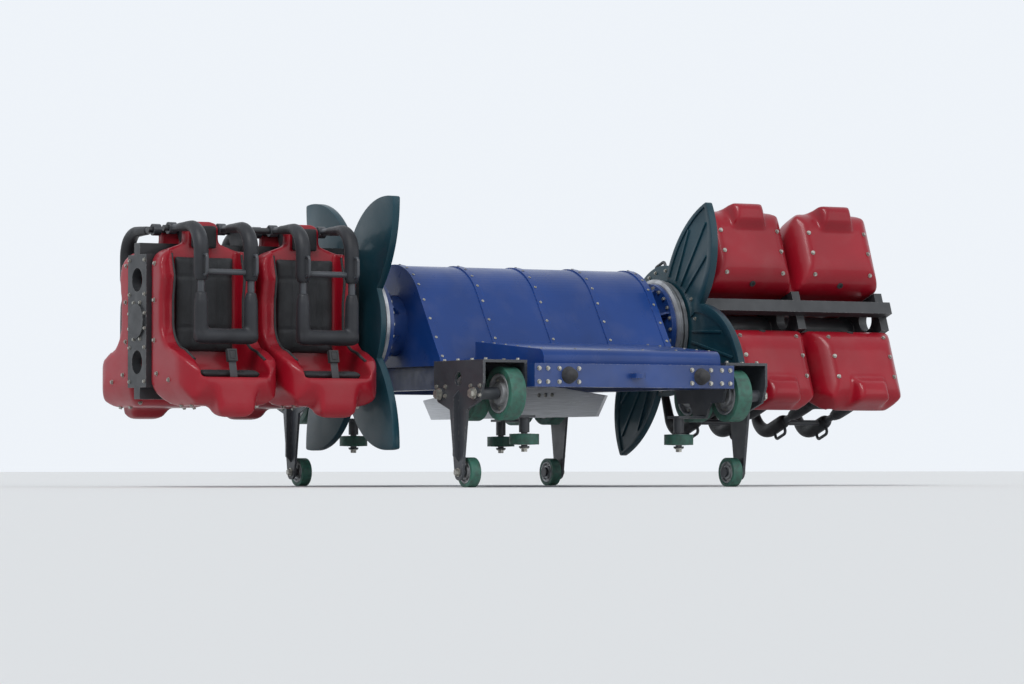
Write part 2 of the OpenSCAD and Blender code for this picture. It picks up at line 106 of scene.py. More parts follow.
@dataclass(frozen=True)
class Layout:
    """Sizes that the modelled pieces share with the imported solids."""

    gauge: float = 1.600
    rail_w: float = 0.320
    rail_h: float = 0.220
    wheel_base: float = 2.200
    tandem: float = 0.420
    run_r: float = 0.160
    run_w: float = 0.110
    small_r: float = 0.090
    small_w: float = 0.070
    run_pin_r: float = 0.025
    small_pin_r: float = 0.020
    plate_t: float = 0.016
    beam_w: float = 0.120
    axle_z: float = 1.000
    seat_pitch: float = 0.680
    seat_in_w: float = 0.450
    seat_y: float = 1.245
    back_x: float = 0.130
    seat_line_x: float = 0.195
    pan_x: float = 0.640
    sit_z: float = 0.345
    shoulder_z: float = 0.430
    head_z: float = 0.600
    head_w: float = 0.225
    hinge_x: float = 0.110
    hinge_z: float = 0.560
    arm_y: float = 0.165
    arm_reach: float = 0.410
    bend_r: float = 0.150
    lap_drop: float = 0.660
    cowl_r: float = 0.375
    cowl_foot_x: float = 0.620
    band_w: float = 0.044
    band_t: float = 0.007
    ring_r: float = 0.330
    flange_t: float = 0.032
    beam_h: float = 0.140
    cross_x: float = 0.480
    fin_t: float = 0.036
    post_t: float = 0.060
    tube_r: float = 0.105
    beam_rise: float = 0.020
    end_reach: float = 0.180
    cowl_reach: float = 0.150
    ring_reach: float = 0.240
    shield_gap: float = 0.020
    outer_gap: float = 0.030
    inner_gap: float = 0.025
    left_turn: float = -110.0
    right_turn: float = 0.0

    @property
    def rail_top(self) -> float:
        """Height of the rail's upper face."""
        return 2 * self.small_r + self.rail_h

    @property
    def run_z(self) -> float:
        """Height of the running axles."""
        return self.rail_top + self.run_r

    @property
    def beam_top(self) -> float:
        """Height of the side beams' upper faces."""
        return self.run_z + self.run_r + self.beam_rise

    @property
    def beam_in(self) -> float:
        """Half the distance between the side beams."""
        return self.gauge / 2 + self.in_face - self.plate_t - self.beam_w

    @property
    def end_x(self) -> float:
        """Front face of the end beam."""
        return self.wheel_base / 2 + self.tandem / 2 + self.end_reach

    @property
    def cowl_y(self) -> float:
        """Half the width of the centre cowl."""
        return self.beam_in + self.beam_w + self.cowl_reach

    @property
    def ring_y(self) -> float:
        """Where the axle housing ends and the bearing ring starts."""
        return self.gauge / 2 + self.ring_reach

    @property
    def frame_y(self) -> float:
        """Seat side of the fin shield, where a unit's frame starts."""
        return self.seat_y - self.post_t - self.shield_gap

    @property
    def unit_end(self) -> float:
        """Outer face of a unit's last post."""
        return self.seat_y + 2 * self.seat_pitch

    @property
    def out_face(self) -> float:
        """Inner face of a bogie's outer plate, from the rail's centre line."""
        return self.rail_w / 2 + self.outer_gap

    @property
    def in_face(self) -> float:
        """Outer face of a bogie's inner plate, from the rail's centre line."""
        return -(self.run_w / 2 + self.inner_gap)


CAR = Layout()


class Side(Enum):
    """The car's two sides, each with its seat unit."""

    LEFT = "left"
    RIGHT = "right"

    @property
    def sign(self) -> int:
        """Sign of Y on this side."""
        return 1 if self is Side.LEFT else -1

    @property
    def mirror(self) -> Matrix:
        """Takes a point on the left to this side."""
        return Matrix.Diagonal((1, self.sign, 1, 1))

    @property
    def unit(self) -> str:
        """Name of the seat unit's body."""
        return f"seat_unit_{self.value}"

    @property
    def unit_matrix(self) -> Matrix:
        """Takes a point from the seat unit's own place, axle at the origin, to the frame."""
        turn = math.radians(CAR.left_turn if self is Side.LEFT else CAR.right_turn)
        return self.mirror @ Matrix.Translation((0, 0, CAR.axle_z)) @ Matrix.Rotation(turn, 4, "Y")


class End(Enum):
    """The two ends of the car, and of whatever has a front and a rear one."""

    FRONT = "front"
    REAR = "rear"

    @property
    def sign(self) -> int:
        """Sign of X at this end."""
        return 1 if self is End.FRONT else -1

    @property
    def mirror(self) -> Matrix:
        """Takes a point at the front to this end."""
        return Matrix.Diagonal((self.sign, 1, 1, 1))


class Place(Enum):
    """The two seats of a row."""

    INNER = "inner"
    OUTER = "outer"


@dataclass(frozen=True)
class Corner:
    """A bogie's place on the car."""

    end: End
    side: Side

    @property
    def name(self) -> str:
        """Name of the corner, as the bodies have it."""
        return f"{self.end.value}_{self.side.value}"

    @property
    def matrix(self) -> Matrix:
        """Takes a point given from the bogie's rail centre, +Y away from the car, to the frame."""
        centre = (self.end.sign * CAR.wheel_base / 2, self.side.sign * CAR.gauge / 2, 0)
        return Matrix.Translation(centre) @ self.side.mirror


@dataclass(frozen=True)
class Row:
    """One of the two rows of a seat unit, which sit back to back."""

    side: Side
    end: End

    @property
    def name(self) -> str:
        """Name of the row, as the nodes have it."""
        return f"{self.side.value}_{self.end.value}"

    @property
    def unit(self) -> str:
        """Name of the body that it rides on."""
        return self.side.unit

    @property
    def matrix(self) -> Matrix:
        """Takes a point from the front row, with the axle at the origin, to the frame."""
        return self.side.unit_matrix @ self.end.mirror


@dataclass(frozen=True)
class Seat:
    """One seat of a row."""

    row: Row
    place: Place

    @property
    def name(self) -> str:
        """Name of the seat, as the bodies have it."""
        return f"{self.row.name}_{self.place.value}"

    @property
    def unit(self) -> str:
        """Name of the seat unit's body."""
        return self.row.unit

    @property
    def matrix(self) -> Matrix:
        """Takes a point from the seat's own place, facing +X, to the frame."""
        step = 0.5 if self.place is Place.INNER else 1.5
        return self.row.matrix @ Matrix.Translation((0, CAR.seat_y + step * CAR.seat_pitch, 0))


CORNERS = [Corner(end, side) for end in End for side in Side]
ROWS = [Row(side, end) for side in Side for end in End]
SEATS = [Seat(row, place) for row in ROWS for place in Place]


# Finishes

class Graph:
    """A material's node graph, with short calls for the nodes that the finishes share."""

    def __init__(self, name: str) -> None:
        """Starts a material with a plain shader.

        Args:
            name: The material's name.
        """
        self.material = bpy.data.materials.new(name)
        self.material.use_nodes = True
        self.nodes = self.material.node_tree.nodes
        self.links = self.material.node_tree.links
        self.shader = self.nodes["Principled BSDF"]
        self.coordinates = self.nodes.new("ShaderNodeTexCoord").outputs["Object"]

    def set(self, **sockets: object) -> None:
        """Sets constants on the shader, with spaces in a name written as underscores."""
        for name, value in sockets.items():
            self.shader.inputs[name.replace("_", " ")].default_value = value

    def add(self, kind: str, **inputs: object) -> bpy.types.Node:
        """Adds a node and fills its inputs.

        Args:
            kind: The node's type, without its leading ShaderNode.
            **inputs: A value or an output socket for each input named.

        Returns:
            The new node.
        """
        node = self.nodes.new("ShaderNode" + kind)
        for name, value in inputs.items():
            socket = node.inputs[name.replace("_", " ")]
            if isinstance(value, bpy.types.NodeSocket):
                self.links.new(value, socket)
            else:
                socket.default_value = value
        return node

    def stretched(self, scale: Point) -> bpy.types.NodeSocket:
        """Object coordinates scaled differently along each axis."""
        return self.add("Mapping", Vector=self.coordinates, Scale=scale).outputs["Vector"]

    def noise(self, scale: float, detail: float = 3.0,
              vector: Optional[bpy.types.NodeSocket] = None) -> bpy.types.NodeSocket:
        """Adds noise from 0 to 1, by cells per metre and octaves, on given or the object's coordinates."""
        node = self.add("TexNoise", Vector=vector or self.coordinates, Scale=scale, Detail=detail)
        return node.outputs["Fac"]

    def ramp(self, value: bpy.types.NodeSocket, *stops: tuple[float, Colour]) -> bpy.types.NodeSocket:
        """Turns a number into a colour.

        Args:
            value: The number.
            *stops: Position and colour of each stop.

        Returns:
            The colour.
        """
        node = self.add("ValToRGB", Fac=value)
        elements = node.color_ramp.elements
        while len(elements) < len(stops):
            elements.new(0.5)
        for element, (position, colour) in zip(elements, stops):
            element.position = position
            element.color = (*colour, 1.0)
        return node.outputs["Color"]

    def between(self, value: bpy.types.NodeSocket, low: float, high: float,
                start: float = 0.0, end: float = 1.0) -> bpy.types.NodeSocket:
        """Maps a number from one range to another, clamped.

        Args:
            value: The number.
            low: Value that gives start.
            high: Value that gives end.
            start: Result at low.
            end: Result at high.

        Returns:
            The mapped number.
        """
        node = self.nodes.new("ShaderNodeMapRange")
        for name, number in (("From Min", low), ("From Max", high), ("To Min", start), ("To Max", end)):
            node.inputs[name].default_value = number
        self.links.new(value, node.inputs["Value"])
        return node.outputs["Result"]

    def math(self, operation: str, a: object, b: object = 0.0) -> bpy.types.NodeSocket:
        """Adds a math node.

        Args:
            operation: The operation's name.
            a: First number or socket.
            b: Second number or socket.

        Returns:
            The result.
        """
        node = self.nodes.new("ShaderNodeMath")
        node.operation = operation
        for socket, value in zip(node.inputs, (a, b)):
            if isinstance(value, bpy.types.NodeSocket):
                self.links.new(value, socket)
            else:
                socket.default_value = value
        return node.outputs["Value"]

    def mix(self, factor: bpy.types.NodeSocket, first: object, second: object) -> bpy.types.NodeSocket:
        """Mixes two colours.

        Args:
            factor: 0 gives the first, 1 the second.
            first: Colour or socket.
            second: Colour or socket.

        Returns:
            The mixed colour.
        """
        node = self.nodes.new("ShaderNodeMix")
        node.data_type = "RGBA"
        self.links.new(factor, node.inputs[0])
        for socket, value in ((node.inputs[6], first), (node.inputs[7], second)):
            if isinstance(value, bpy.types.NodeSocket):
                self.links.new(value, socket)
            else:
                socket.default_value = (*value, 1.0)
        return node.outputs[2]

    def edges(self, radius: float) -> bpy.types.NodeSocket:
        """Marks the strip along sharp edges.

        Args:
            radius: Width of the strip in metres.

        Returns:
            0 on flat faces, rising to 1 on an edge.
        """
        rounded = self.nodes.new("ShaderNodeBevel")
        rounded.samples = 3
        rounded.inputs["Radius"].default_value = radius
        plain = self.nodes.new("ShaderNodeNewGeometry").outputs["Normal"]
        dot = self.nodes.new("ShaderNodeVectorMath")
        dot.operation = "DOT_PRODUCT"
        self.links.new(rounded.outputs["Normal"], dot.inputs[0])
        self.links.new(plain, dot.inputs[1])
        return self.between(dot.outputs["Value"], 0.995, 0.85)

    def paint(self, colour: bpy.types.NodeSocket) -> None:
        """Connects the base colour."""
        self.links.new(colour, self.shader.inputs["Base Color"])

    def roughen(self, value: bpy.types.NodeSocket) -> None:
        """Connects the roughness."""
        self.links.new(value, self.shader.inputs["Roughness"])

    def bump(self, height: bpy.types.NodeSocket, distance: float, strength: float = 1.0) -> None:
        """Adds surface relief on top of any already there.

        Args:
            height: Height from 0 to 1.
            distance: Metres that a height of 1 stands for.
            strength: Share of the relief that shows.
        """
        node = self.add("Bump", Height=height, Distance=distance, Strength=strength)
        socket = self.shader.inputs["Normal"]
        if socket.is_linked:
            self.links.new(socket.links[0].from_socket, node.inputs["Normal"])
        self.links.new(node.outputs["Normal"], socket)


def shade(colour: Colour, amount: float) -> Colour:
    """Scales a colour's brightness."""
    return tuple(min(1.0, channel * amount) for channel in colour)


@dataclass(frozen=True)
class GelCoat:
    """Glossy moulded glass fibre: faint unevenness, fine scuffs, rubbed edges and patches of road film."""

    name: str
    colour: Colour
    roughness: float = 0.30
    faded: float = 1.25
    film: float = 0.07
    dust: Colour = (0.30, 0.27, 0.25)

    def material(self) -> bpy.types.Material:
        """Builds the material.

        Returns:
            The material.
        """
        g = Graph(self.name)
        clouds = g.noise(1.6, 3)
        tone = g.ramp(clouds, (0.3, shade(self.colour, 0.86)), (0.7, shade(self.colour, self.faded)))
        film = g.between(g.noise(5.0, 5), 0.5, 0.8, 0.0, self.film)
        rubbed = g.math("MULTIPLY", g.edges(0.010), g.between(g.noise(60.0, 4), 0.45, 0.6, 0.0, 0.35))
        scuffs = g.math("MULTIPLY", g.between(g.noise(170.0, 2, g.stretched((0.08, 1, 0.35))), 0.66, 0.72),
                        g.between(g.noise(4.0, 3), 0.52, 0.66, 0.0, 0.45))
        coat = g.mix(rubbed, g.mix(film, tone, self.dust), shade(self.colour, 3.0))
        g.paint(g.mix(scuffs, coat, shade(self.colour, 1.9)))
        dull = g.between(g.noise(7.0, 5), 0.35, 0.75, self.roughness, self.roughness + 0.14)
        g.roughen(g.math("ADD", dull, g.math("MULTIPLY", scuffs, 0.3)))
        g.bump(g.noise(9.0, 2), 0.0010, 0.30)
        g.set(Coat_Weight=0.22, Coat_Roughness=0.10, Specular_IOR_Level=0.22)
        return g.material


@dataclass(frozen=True)
class SatinPaint:
    """Sprayed steel: fine texture, uneven gloss and chips of primer along the edges."""

    name: str
    colour: Colour
    roughness: float = 0.42
    bare: Colour = (0.30, 0.29, 0.28)
    chips: float = 0.6
    texture: float = 260.0
    coat: float = 0.15

    def material(self) -> bpy.types.Material:
        """Builds the material.

        Returns:
            The material.
        """
        g = Graph(self.name)
        tone = g.ramp(g.noise(3.1, 5), (0.3, shade(self.colour, 0.75)), (0.72, shade(self.colour, 1.3)))
        edge = g.edges(0.006)
        broken = g.between(g.noise(75.0, 5), 0.5, 0.62)
        worn = g.math("MULTIPLY", g.math("MULTIPLY", edge, broken), self.chips)
        g.paint(g.mix(worn, tone, self.bare))
        g.roughen(g.between(g.noise(14.0, 4), 0.3, 0.75, self.roughness - 0.08, self.roughness + 0.14))
        g.bump(g.noise(self.texture, 2), 0.0006, 0.3)
        g.set(Coat_Weight=self.coat, Coat_Roughness=0.2)
        return g.material


@dataclass(frozen=True)
class TurnedSteel:
    """Machined steel with the rings that a lathe leaves about the car's axle."""

    name: str
    colour: Colour = (0.50, 0.51, 0.53)
    roughness: float = 0.32
    rings: float = 190.0

    def material(self) -> bpy.types.Material:
        """Builds the material.

        Returns:
            The material.
        """
        g = Graph(self.name)
        centred = g.add("Mapping", Vector=g.coordinates, Location=(0, 0, -CAR.axle_z), Scale=(1, 0, 1))
        radius = g.nodes.new("ShaderNodeVectorMath")
        radius.operation = "LENGTH"
        g.links.new(centred.outputs["Vector"], radius.inputs[0])
        groove = g.math("SINE", g.math("MULTIPLY", radius.outputs["Value"], self.rings * TURN))
        stain = g.noise(11.0, 5)
        g.paint(g.ramp(stain, (0.32, shade(self.colour, 0.55)), (0.6, self.colour),
                       (0.8, shade(self.colour, 1.15))))
        g.roughen(g.between(stain, 0.3, 0.7, self.roughness + 0.2, self.roughness))
        g.bump(groove, 0.0002, 0.4)
        g.set(Metallic=0.85)
        return g.material


@dataclass(frozen=True)
class BarePlate:
    """Aluminium or steel plate with long scratches along the way of travel."""

    name: str
    colour: Colour = (0.62, 0.63, 0.65)
    metallic: float = 0.9

    def material(self) -> bpy.types.Material:
        """Builds the material.

        Returns:
            The material.
        """
        g = Graph(self.name)
        along = g.stretched((0.6, 40, 40))
        scratch = g.noise(8.0, 6, along)
        g.paint(g.ramp(scratch, (0.3, shade(self.colour, 0.7)), (0.7, shade(self.colour, 1.1))))
        g.roughen(g.between(scratch, 0.3, 0.7, 0.26, 0.5))
        g.bump(scratch, 0.0003, 0.5)
        g.set(Metallic=self.metallic)
        return g.material


@dataclass(frozen=True)
class CastAluminium:
    """Sand-cast hub metal: grainy, with darker patches of brake dust."""

    name: str
    colour: Colour = (0.48, 0.49, 0.50)

    def material(self) -> bpy.types.Material:
        """Builds the material.

        Returns:
            The material.
        """
        g = Graph(self.name)
        stain = g.noise(22.0, 5)
        g.paint(g.ramp(stain, (0.3, shade(self.colour, 0.5)), (0.62, self.colour)))
        g.roughen(g.between(stain, 0.3, 0.7, 0.62, 0.4))
        g.bump(g.noise(420.0, 3), 0.0005, 0.5)
        g.set(Metallic=0.8)
        return g.material


@dataclass(frozen=True)
class Polyurethane:
    """Cast tread of a wheel: slightly waxy, with grime in patches."""

    name: str
    colour: Colour
    grime: Colour = (0.035, 0.035, 0.034)

    def material(self) -> bpy.types.Material:
        """Builds the material.

        Returns:
            The material.
        """
        g = Graph(self.name)
        film = g.between(g.noise(30.0, 6), 0.4, 0.75, 0.1, 0.7)
        g.paint(g.mix(film, self.colour, self.grime))
        g.roughen(g.between(g.noise(50.0, 4), 0.3, 0.7, 0.38, 0.6))
        g.bump(g.noise(300.0, 2), 0.0004, 0.4)
        g.set(Subsurface_Weight=0.08, Subsurface_Scale=0.01, Specular_IOR_Level=0.45)
        return g.material


@dataclass(frozen=True)
class SkinFoam:
    """Moulded foam with a tough grained skin, rubbed shinier in patches."""

    name: str
    colour: Colour = (0.015, 0.016, 0.018)
    grain: float = 330.0
    roughness: float = 0.55

    def material(self) -> bpy.types.Material:
        """Builds the material.

        Returns:
            The material.
        """
        g = Graph(self.name)
        rubbed = g.noise(5.0, 4)
        g.paint(g.ramp(rubbed, (0.32, shade(self.colour, 0.75)), (0.7, shade(self.colour, 1.7))))
        g.roughen(g.between(rubbed, 0.3, 0.7, self.roughness + 0.12, self.roughness - 0.1))
        cells = g.add("TexVoronoi", Vector=g.coordinates, Scale=self.grain)
        g.bump(g.between(cells.outputs["Distance"], 0.0, 0.6), 0.0007, 0.55)
        g.bump(g.noise(18.0, 3), 0.002, 0.3)
        g.set(Sheen_Weight=0.04, Sheen_Roughness=0.5, Specular_IOR_Level=0.32)
        return g.material


@dataclass(frozen=True)
class MouldedRubber:
    """Matt rubber with a chalky bloom."""

    name: str
    colour: Colour = (0.014, 0.014, 0.015)

    def material(self) -> bpy.types.Material:
        """Builds the material.

        Returns:
            The material.
        """
        g = Graph(self.name)
        bloom = g.noise(35.0, 5)
        g.paint(g.ramp(bloom, (0.35, self.colour), (0.8, shade(self.colour, 3.2))))
        g.roughen(g.between(bloom, 0.3, 0.7, 0.6, 0.85))
        g.bump(g.noise(240.0, 2), 0.0005, 0.5)
        return g.material


@dataclass(frozen=True)
class ZincPlate:
    """Plated fasteners: a pale metal with a faint yellow cast and dull patches."""

    name: str
    colour: Colour = (0.46, 0.45, 0.41)

    def material(self) -> bpy.types.Material:
        """Builds the material.

        Returns:
            The material.
        """
        g = Graph(self.name)
        dull = g.noise(70.0, 4)
        g.paint(g.ramp(dull, (0.3, shade(self.colour, 0.55)), (0.65, self.colour)))
        g.roughen(g.between(dull, 0.3, 0.7, 0.55, 0.3))
        g.bump(g.noise(500.0, 2), 0.0002, 0.4)
        g.set(Metallic=0.9)
        return g.material


@dataclass(frozen=True)
class WovenStrap:
    """Woven belt: ribs across its length and a soft sheen."""

    name: str
    colour: Colour = (0.05, 0.05, 0.055)
    ribs: float = 420.0

    def material(self) -> bpy.types.Material:
        """Builds the material.

        Returns:
            The material.
        """
        g = Graph(self.name)
        place = g.nodes.new("ShaderNodeAttribute")
        place.attribute_name = "place"
        wave = g.add("TexWave", Vector=place.outputs["Vector"], Scale=self.ribs / TURN, Distortion=0.4)
        wave.bands_direction = "Z"
        weave = wave.outputs["Fac"]
        g.paint(g.ramp(weave, (0.2, shade(self.colour, 0.5)), (0.8, shade(self.colour, 1.4))))
        g.bump(weave, 0.0006, 0.6)
        g.set(Roughness=0.75, Sheen_Weight=0.3, Sheen_Roughness=0.4)
        return g.material


class Finishes:
    """Every finish of the car, built once."""

    def __init__(self) -> None:
        """Builds the materials."""
        self.red = GelCoat("red gel coat", (0.26, 0.005, 0.014)).material()
        self.blue = GelCoat("blue gel coat", (0.007, 0.038, 0.175), roughness=0.27).material()
        self.teal = GelCoat("dark teal gel coat", (0.006, 0.034, 0.048), roughness=0.36,
                            faded=1.5).material()
        self.blue_steel = SatinPaint("blue steel paint", (0.007, 0.036, 0.160), roughness=0.36,
                                     coat=0.2).material()
        self.dark_steel = SatinPaint("dark grey steel paint", (0.034, 0.038, 0.045)).material()
        self.frame_steel = SatinPaint("black frame paint", (0.020, 0.022, 0.025), roughness=0.5).material()
        self.ring = TurnedSteel("turned bearing steel").material()
        self.plate = BarePlate("bare brake plate").material()
        self.cast = CastAluminium("cast hub metal").material()
        self.tread = Polyurethane("wheel polyurethane", (0.035, 0.14, 0.10)).material()
        self.foam = SkinFoam("black skin foam").material()
        self.harness_foam = SkinFoam("harness foam", (0.013, 0.014, 0.017), grain=420.0,
                                     roughness=0.46).material()
        self.rubber = MouldedRubber("black rubber").material()
        self.zinc = ZincPlate("zinc fasteners").material()
        self.strap = WovenStrap("harness strap").material()


# Modelling with Blender's operators

Test = Callable[[Vector, Vector], bool]
TURNS = {"X": (0.0, math.pi / 2, 0.0), "Y": (-math.pi / 2, 0.0, 0.0), "Z": (0.0, 0.0, 0.0)}


def deselect() -> None:
    if bpy.context.mode != "OBJECT":
        bpy.ops.object.mode_set(mode="OBJECT")
    bpy.ops.object.select_all(action="DESELECT")


@dataclass(frozen=True)
class Spot:
    """Where one copy of a pattern goes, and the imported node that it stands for, if any."""

    name: str
    body: str
    matrix: Matrix
    replaces: str = ""


class Workpiece:
    """A mesh being modelled with Blender's own operators, then copied to its places."""

    def __init__(self, obj: bpy.types.Object) -> None:
        """Takes a mesh object over."""
        self.obj = obj

    @classmethod
    def box(cls, low: Sequence[float], high: Sequence[float]) -> "Workpiece":
        """Starts from a cube stretched between two corners.

        Args:
            low: The lower corner.
            high: The upper corner.

        Returns:
            The new workpiece.
        """
        deselect()
        low, high = Vector(low), Vector(high)
        bpy.ops.mesh.primitive_cube_add(size=1, location=(low + high) / 2)
        bpy.context.object.scale = high - low
        bpy.ops.object.transform_apply(location=True, rotation=True, scale=True)
        return cls(bpy.context.object)

    @classmethod
    def cylinder(cls, radius: float, depth: float, at: Sequence[float] = (0, 0, 0),
                 axis: str = "Z", sides: int = 32) -> "Workpiece":
        """Starts from a cylinder.

        Args:
            radius: Its radius.
            depth: Its length.
            at: Its centre.
            axis: X, Y or Z.
            sides: Faces round it.

        Returns:
            The new workpiece.
        """
        deselect()
        bpy.ops.mesh.primitive_cylinder_add(vertices=sides, radius=radius, depth=depth, location=at,
                                            rotation=TURNS[axis])
        bpy.ops.object.transform_apply(location=True, rotation=True, scale=True)
        return cls(bpy.context.object)

    @classmethod
    def tube(cls, points: Sequence[Sequence[float]], radius: float, sides: int = 12,
             swell: Optional[Sequence[float]] = None) -> "Workpiece":
        """Sweeps a round section along a path.

        Args:
            points: The path.
            radius: The section's radius.
            sides: Faces round the section, an even number from 4.
            swell: Factor on the radius at each point.

        Returns:
            The new workpiece, with closed ends.
        """
        deselect()
        bpy.ops.curve.primitive_bezier_curve_add()
        curve = bpy.context.object.data
        curve.splines.clear()
        spline = curve.splines.new("POLY")
        spline.points.add(len(points) - 1)
        for index, (point, place) in enumerate(zip(spline.points, points)):
            point.co = (*place, 1.0)
            point.radius = swell[index] if swell else 1.0
        curve.dimensions = "3D"
        curve.bevel_depth = radius
        curve.bevel_resolution = sides // 2 - 2
        curve.use_fill_caps = True
        bpy.ops.object.convert(target="MESH")
        piece = cls(bpy.context.object)
        piece.pick(lambda centre, normal: True)
        bpy.ops.mesh.remove_doubles(threshold=0.00005)
        bpy.ops.mesh.normals_make_consistent(inside=False)
        deselect()
        return piece

    @classmethod
    def from_node(cls, name: str) -> "Workpiece":
        """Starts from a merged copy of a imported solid, whose own mesh stays as it is.

        Args:
            name: The solid's node.

        Returns:
            The new workpiece.
        """
        deselect()
        obj = frame["nodes"][name].copy()
        obj.data = obj.data.copy()
        obj.parent = None
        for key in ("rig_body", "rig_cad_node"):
            if key in obj:
                del obj[key]
        bpy.context.collection.objects.link(obj)
        piece = cls(obj)
        piece.activate()
        if obj.data.has_custom_normals:
            bpy.ops.mesh.customdata_custom_splitnormals_clear()
        piece.pick(lambda centre, normal: True)
        bpy.ops.mesh.remove_doubles(threshold=0.0001)
        deselect()
        return piece

    def touch(self, start: Sequence[float], direction: Sequence[float]) -> Matrix:
        """Places a fastener where a line first meets the surface.

        Args:
            start: A point outside the piece.
            direction: The way the line runs.

        Returns:
            The place, with +Z along the surface's normal.
        """
        found, point, normal, _ = self.obj.ray_cast(Vector(start), Vector(direction))
        if not found:
            raise ValueError(f"no surface on the line from {tuple(start)} along {tuple(direction)}")
        return upright(point, normal)

    def remember(self) -> "Workpiece":
        """Stores where each point is, for a pattern that stays with the piece when it is moved.

        Returns:
            The same workpiece.
        """
        places = self.obj.data.attributes.new("place", "FLOAT_VECTOR", "POINT")
        for place, vertex in zip(places.data, self.obj.data.vertices):
            place.vector = vertex.co
        return self

    def activate(self) -> None:
        """Makes this the only selected object."""
        deselect()
        self.obj.select_set(True)
        bpy.context.view_layer.objects.active = self.obj

    def pick(self, test: Test) -> None:
        """Selects faces, and stays in edit mode.

        Args:
            test: Takes a face's centre and normal, and says whether it is wanted.
        """
        self.activate()
        bpy.ops.object.mode_set(mode="EDIT")
        bpy.ops.mesh.select_mode(type="FACE")
        bpy.ops.mesh.select_all(action="DESELECT")
        bpy.ops.object.mode_set(mode="OBJECT")
        for face in self.obj.data.polygons:
            face.select = test(face.center, face.normal)
        bpy.ops.object.mode_set(mode="EDIT")

    def inset(self, thickness: float, push: float = 0.0) -> None:
        """Insets the selected faces and pushes them along their normals.

        Args:
            thickness: Width of the new border.
            push: Distance outwards, or inwards if negative.
        """
        bpy.ops.mesh.inset(thickness=thickness, depth=0)
        if push:
            self.push(push)

    def push(self, distance: float) -> None:
        """Extrudes the selected faces along their normals."""
        bpy.ops.mesh.extrude_region_shrink_fatten(TRANSFORM_OT_shrink_fatten={"value": distance})

    def carve(self, faces: Test, steps: Iterable[tuple[float, float]]) -> "Workpiece":
        """Turns a stepped profile into faces, each step an inset and a push.

        Args:
            faces: Picks the faces.
            steps: Border width and push of each step.

        Returns:
            The same workpiece.
        """
        self.pick(faces)
        for thickness, push in steps:
            self.inset(thickness, push)
        deselect()
        return self

    def modify(self, kind: str, **settings: object) -> "Workpiece":
        """Adds a modifier and applies it.

        Args:
            kind: The modifier's type.
            **settings: Its settings.

        Returns:
            The same workpiece.
        """
        self.activate()
        modifier = self.obj.modifiers.new(kind.title(), kind)
        for name, value in settings.items():
            setattr(modifier, name, value)
        bpy.ops.object.modifier_apply(modifier=modifier.name)
        return self

    def round_edges(self, width: float, segments: int = 2, angle: float = 32.0) -> "Workpiece":
        """Rounds the edges that are sharper than an angle in degrees."""
        return self.modify("BEVEL", width=width, segments=segments, limit_method="ANGLE",
                           angle_limit=math.radians(angle), use_clamp_overlap=True)

    def smooth(self, angle: float = 35.0) -> "Workpiece":
        """Shades smooth except across edges sharper than an angle.

        Args:
            angle: The angle in degrees.

        Returns:
            The same workpiece.
        """
        self.activate()
        bpy.ops.object.shade_smooth_by_angle(angle=math.radians(angle))
        return self

    def mould(self, voxel: float, passes: int) -> "Workpiece":
        """Joins what overlaps into one skin of even faces and smooths it a number of times."""
        self.modify("REMESH", mode="VOXEL", voxel_size=voxel)
        return self.modify("SMOOTH", factor=0.5, iterations=passes).smooth(80)

    def move(self, matrix: Matrix) -> "Workpiece":
        """Moves the mesh, and keeps its faces outwards if the matrix mirrors.

        Args:
            matrix: The move.

        Returns:
            The same workpiece.
        """
        self.obj.data.transform(matrix)
        if matrix.determinant() < 0:
            self.obj.data.flip_normals()
        return self

    def twin(self, matrix: Matrix) -> "Workpiece":
        """Copies the piece, with its own mesh, and moves the copy.

        Args:
            matrix: The move.

        Returns:
            The copy.
        """
        obj = self.obj.copy()
        obj.data = self.obj.data.copy()
        bpy.context.collection.objects.link(obj)
        return Workpiece(obj).move(matrix)

    def join(self, others: Iterable["Workpiece"]) -> "Workpiece":
        """Joins other pieces into this one.

        Args:
            others: The pieces, which end here.

        Returns:
            The same workpiece.
        """
        others = list(others)
        if others:
            self.activate()
            for other in others:
                other.obj.select_set(True)
            bpy.ops.object.join()
        return self

    def discard(self) -> None:
        """Deletes a piece that was only a pattern for its copies."""
        mesh = self.obj.data
        bpy.data.objects.remove(self.obj)
        bpy.data.meshes.remove(mesh)

    def fit(self, name: str, material: bpy.types.Material, body: str, slot: str,
            replaces: str = "") -> bpy.types.Object:
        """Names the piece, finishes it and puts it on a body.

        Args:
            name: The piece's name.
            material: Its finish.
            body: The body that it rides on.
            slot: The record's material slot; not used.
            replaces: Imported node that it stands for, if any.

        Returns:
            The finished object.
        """
        self.obj.name = name
        self.obj.data.name = name
        self.obj.data.materials.clear()
        self.obj.data.materials.append(material)
        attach(self.obj, body)
        if replaces:
            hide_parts(replaces)
        log.info("%s: %d faces on %s", name, len(self.obj.data.polygons), body)
        return self.obj

    def spread(self, material: bpy.types.Material, slot: str,
               spots: Iterable[Spot]) -> list[bpy.types.Object]:
        """Copies a pattern to its spots, finishes the copies and deletes the pattern.

        Args:
            material: The copies' finish.
            slot: The record's material slot.
            spots: Where they go.

        Returns:
            The finished objects.
        """
        pieces = [self.twin(spot.matrix).fit(spot.name, material, spot.body, slot, spot.replaces)
                  for spot in spots]
        self.discard()
        return pieces


def facing(direction: Sequence[float], tolerance: float = 0.98) -> Test:
    """Makes a test for faces that look along a direction."""
    wanted = Vector(direction)
    return lambda centre, normal: normal.dot(wanted) > tolerance


def upright(point: Sequence[float], direction: Sequence[float]) -> Matrix:
    """Places something modelled along +Z at a point, along a direction."""
    turn = Vector(direction).to_track_quat("Z", "Y").to_matrix().to_4x4()
    return Matrix.Translation(Vector(point)) @ turn


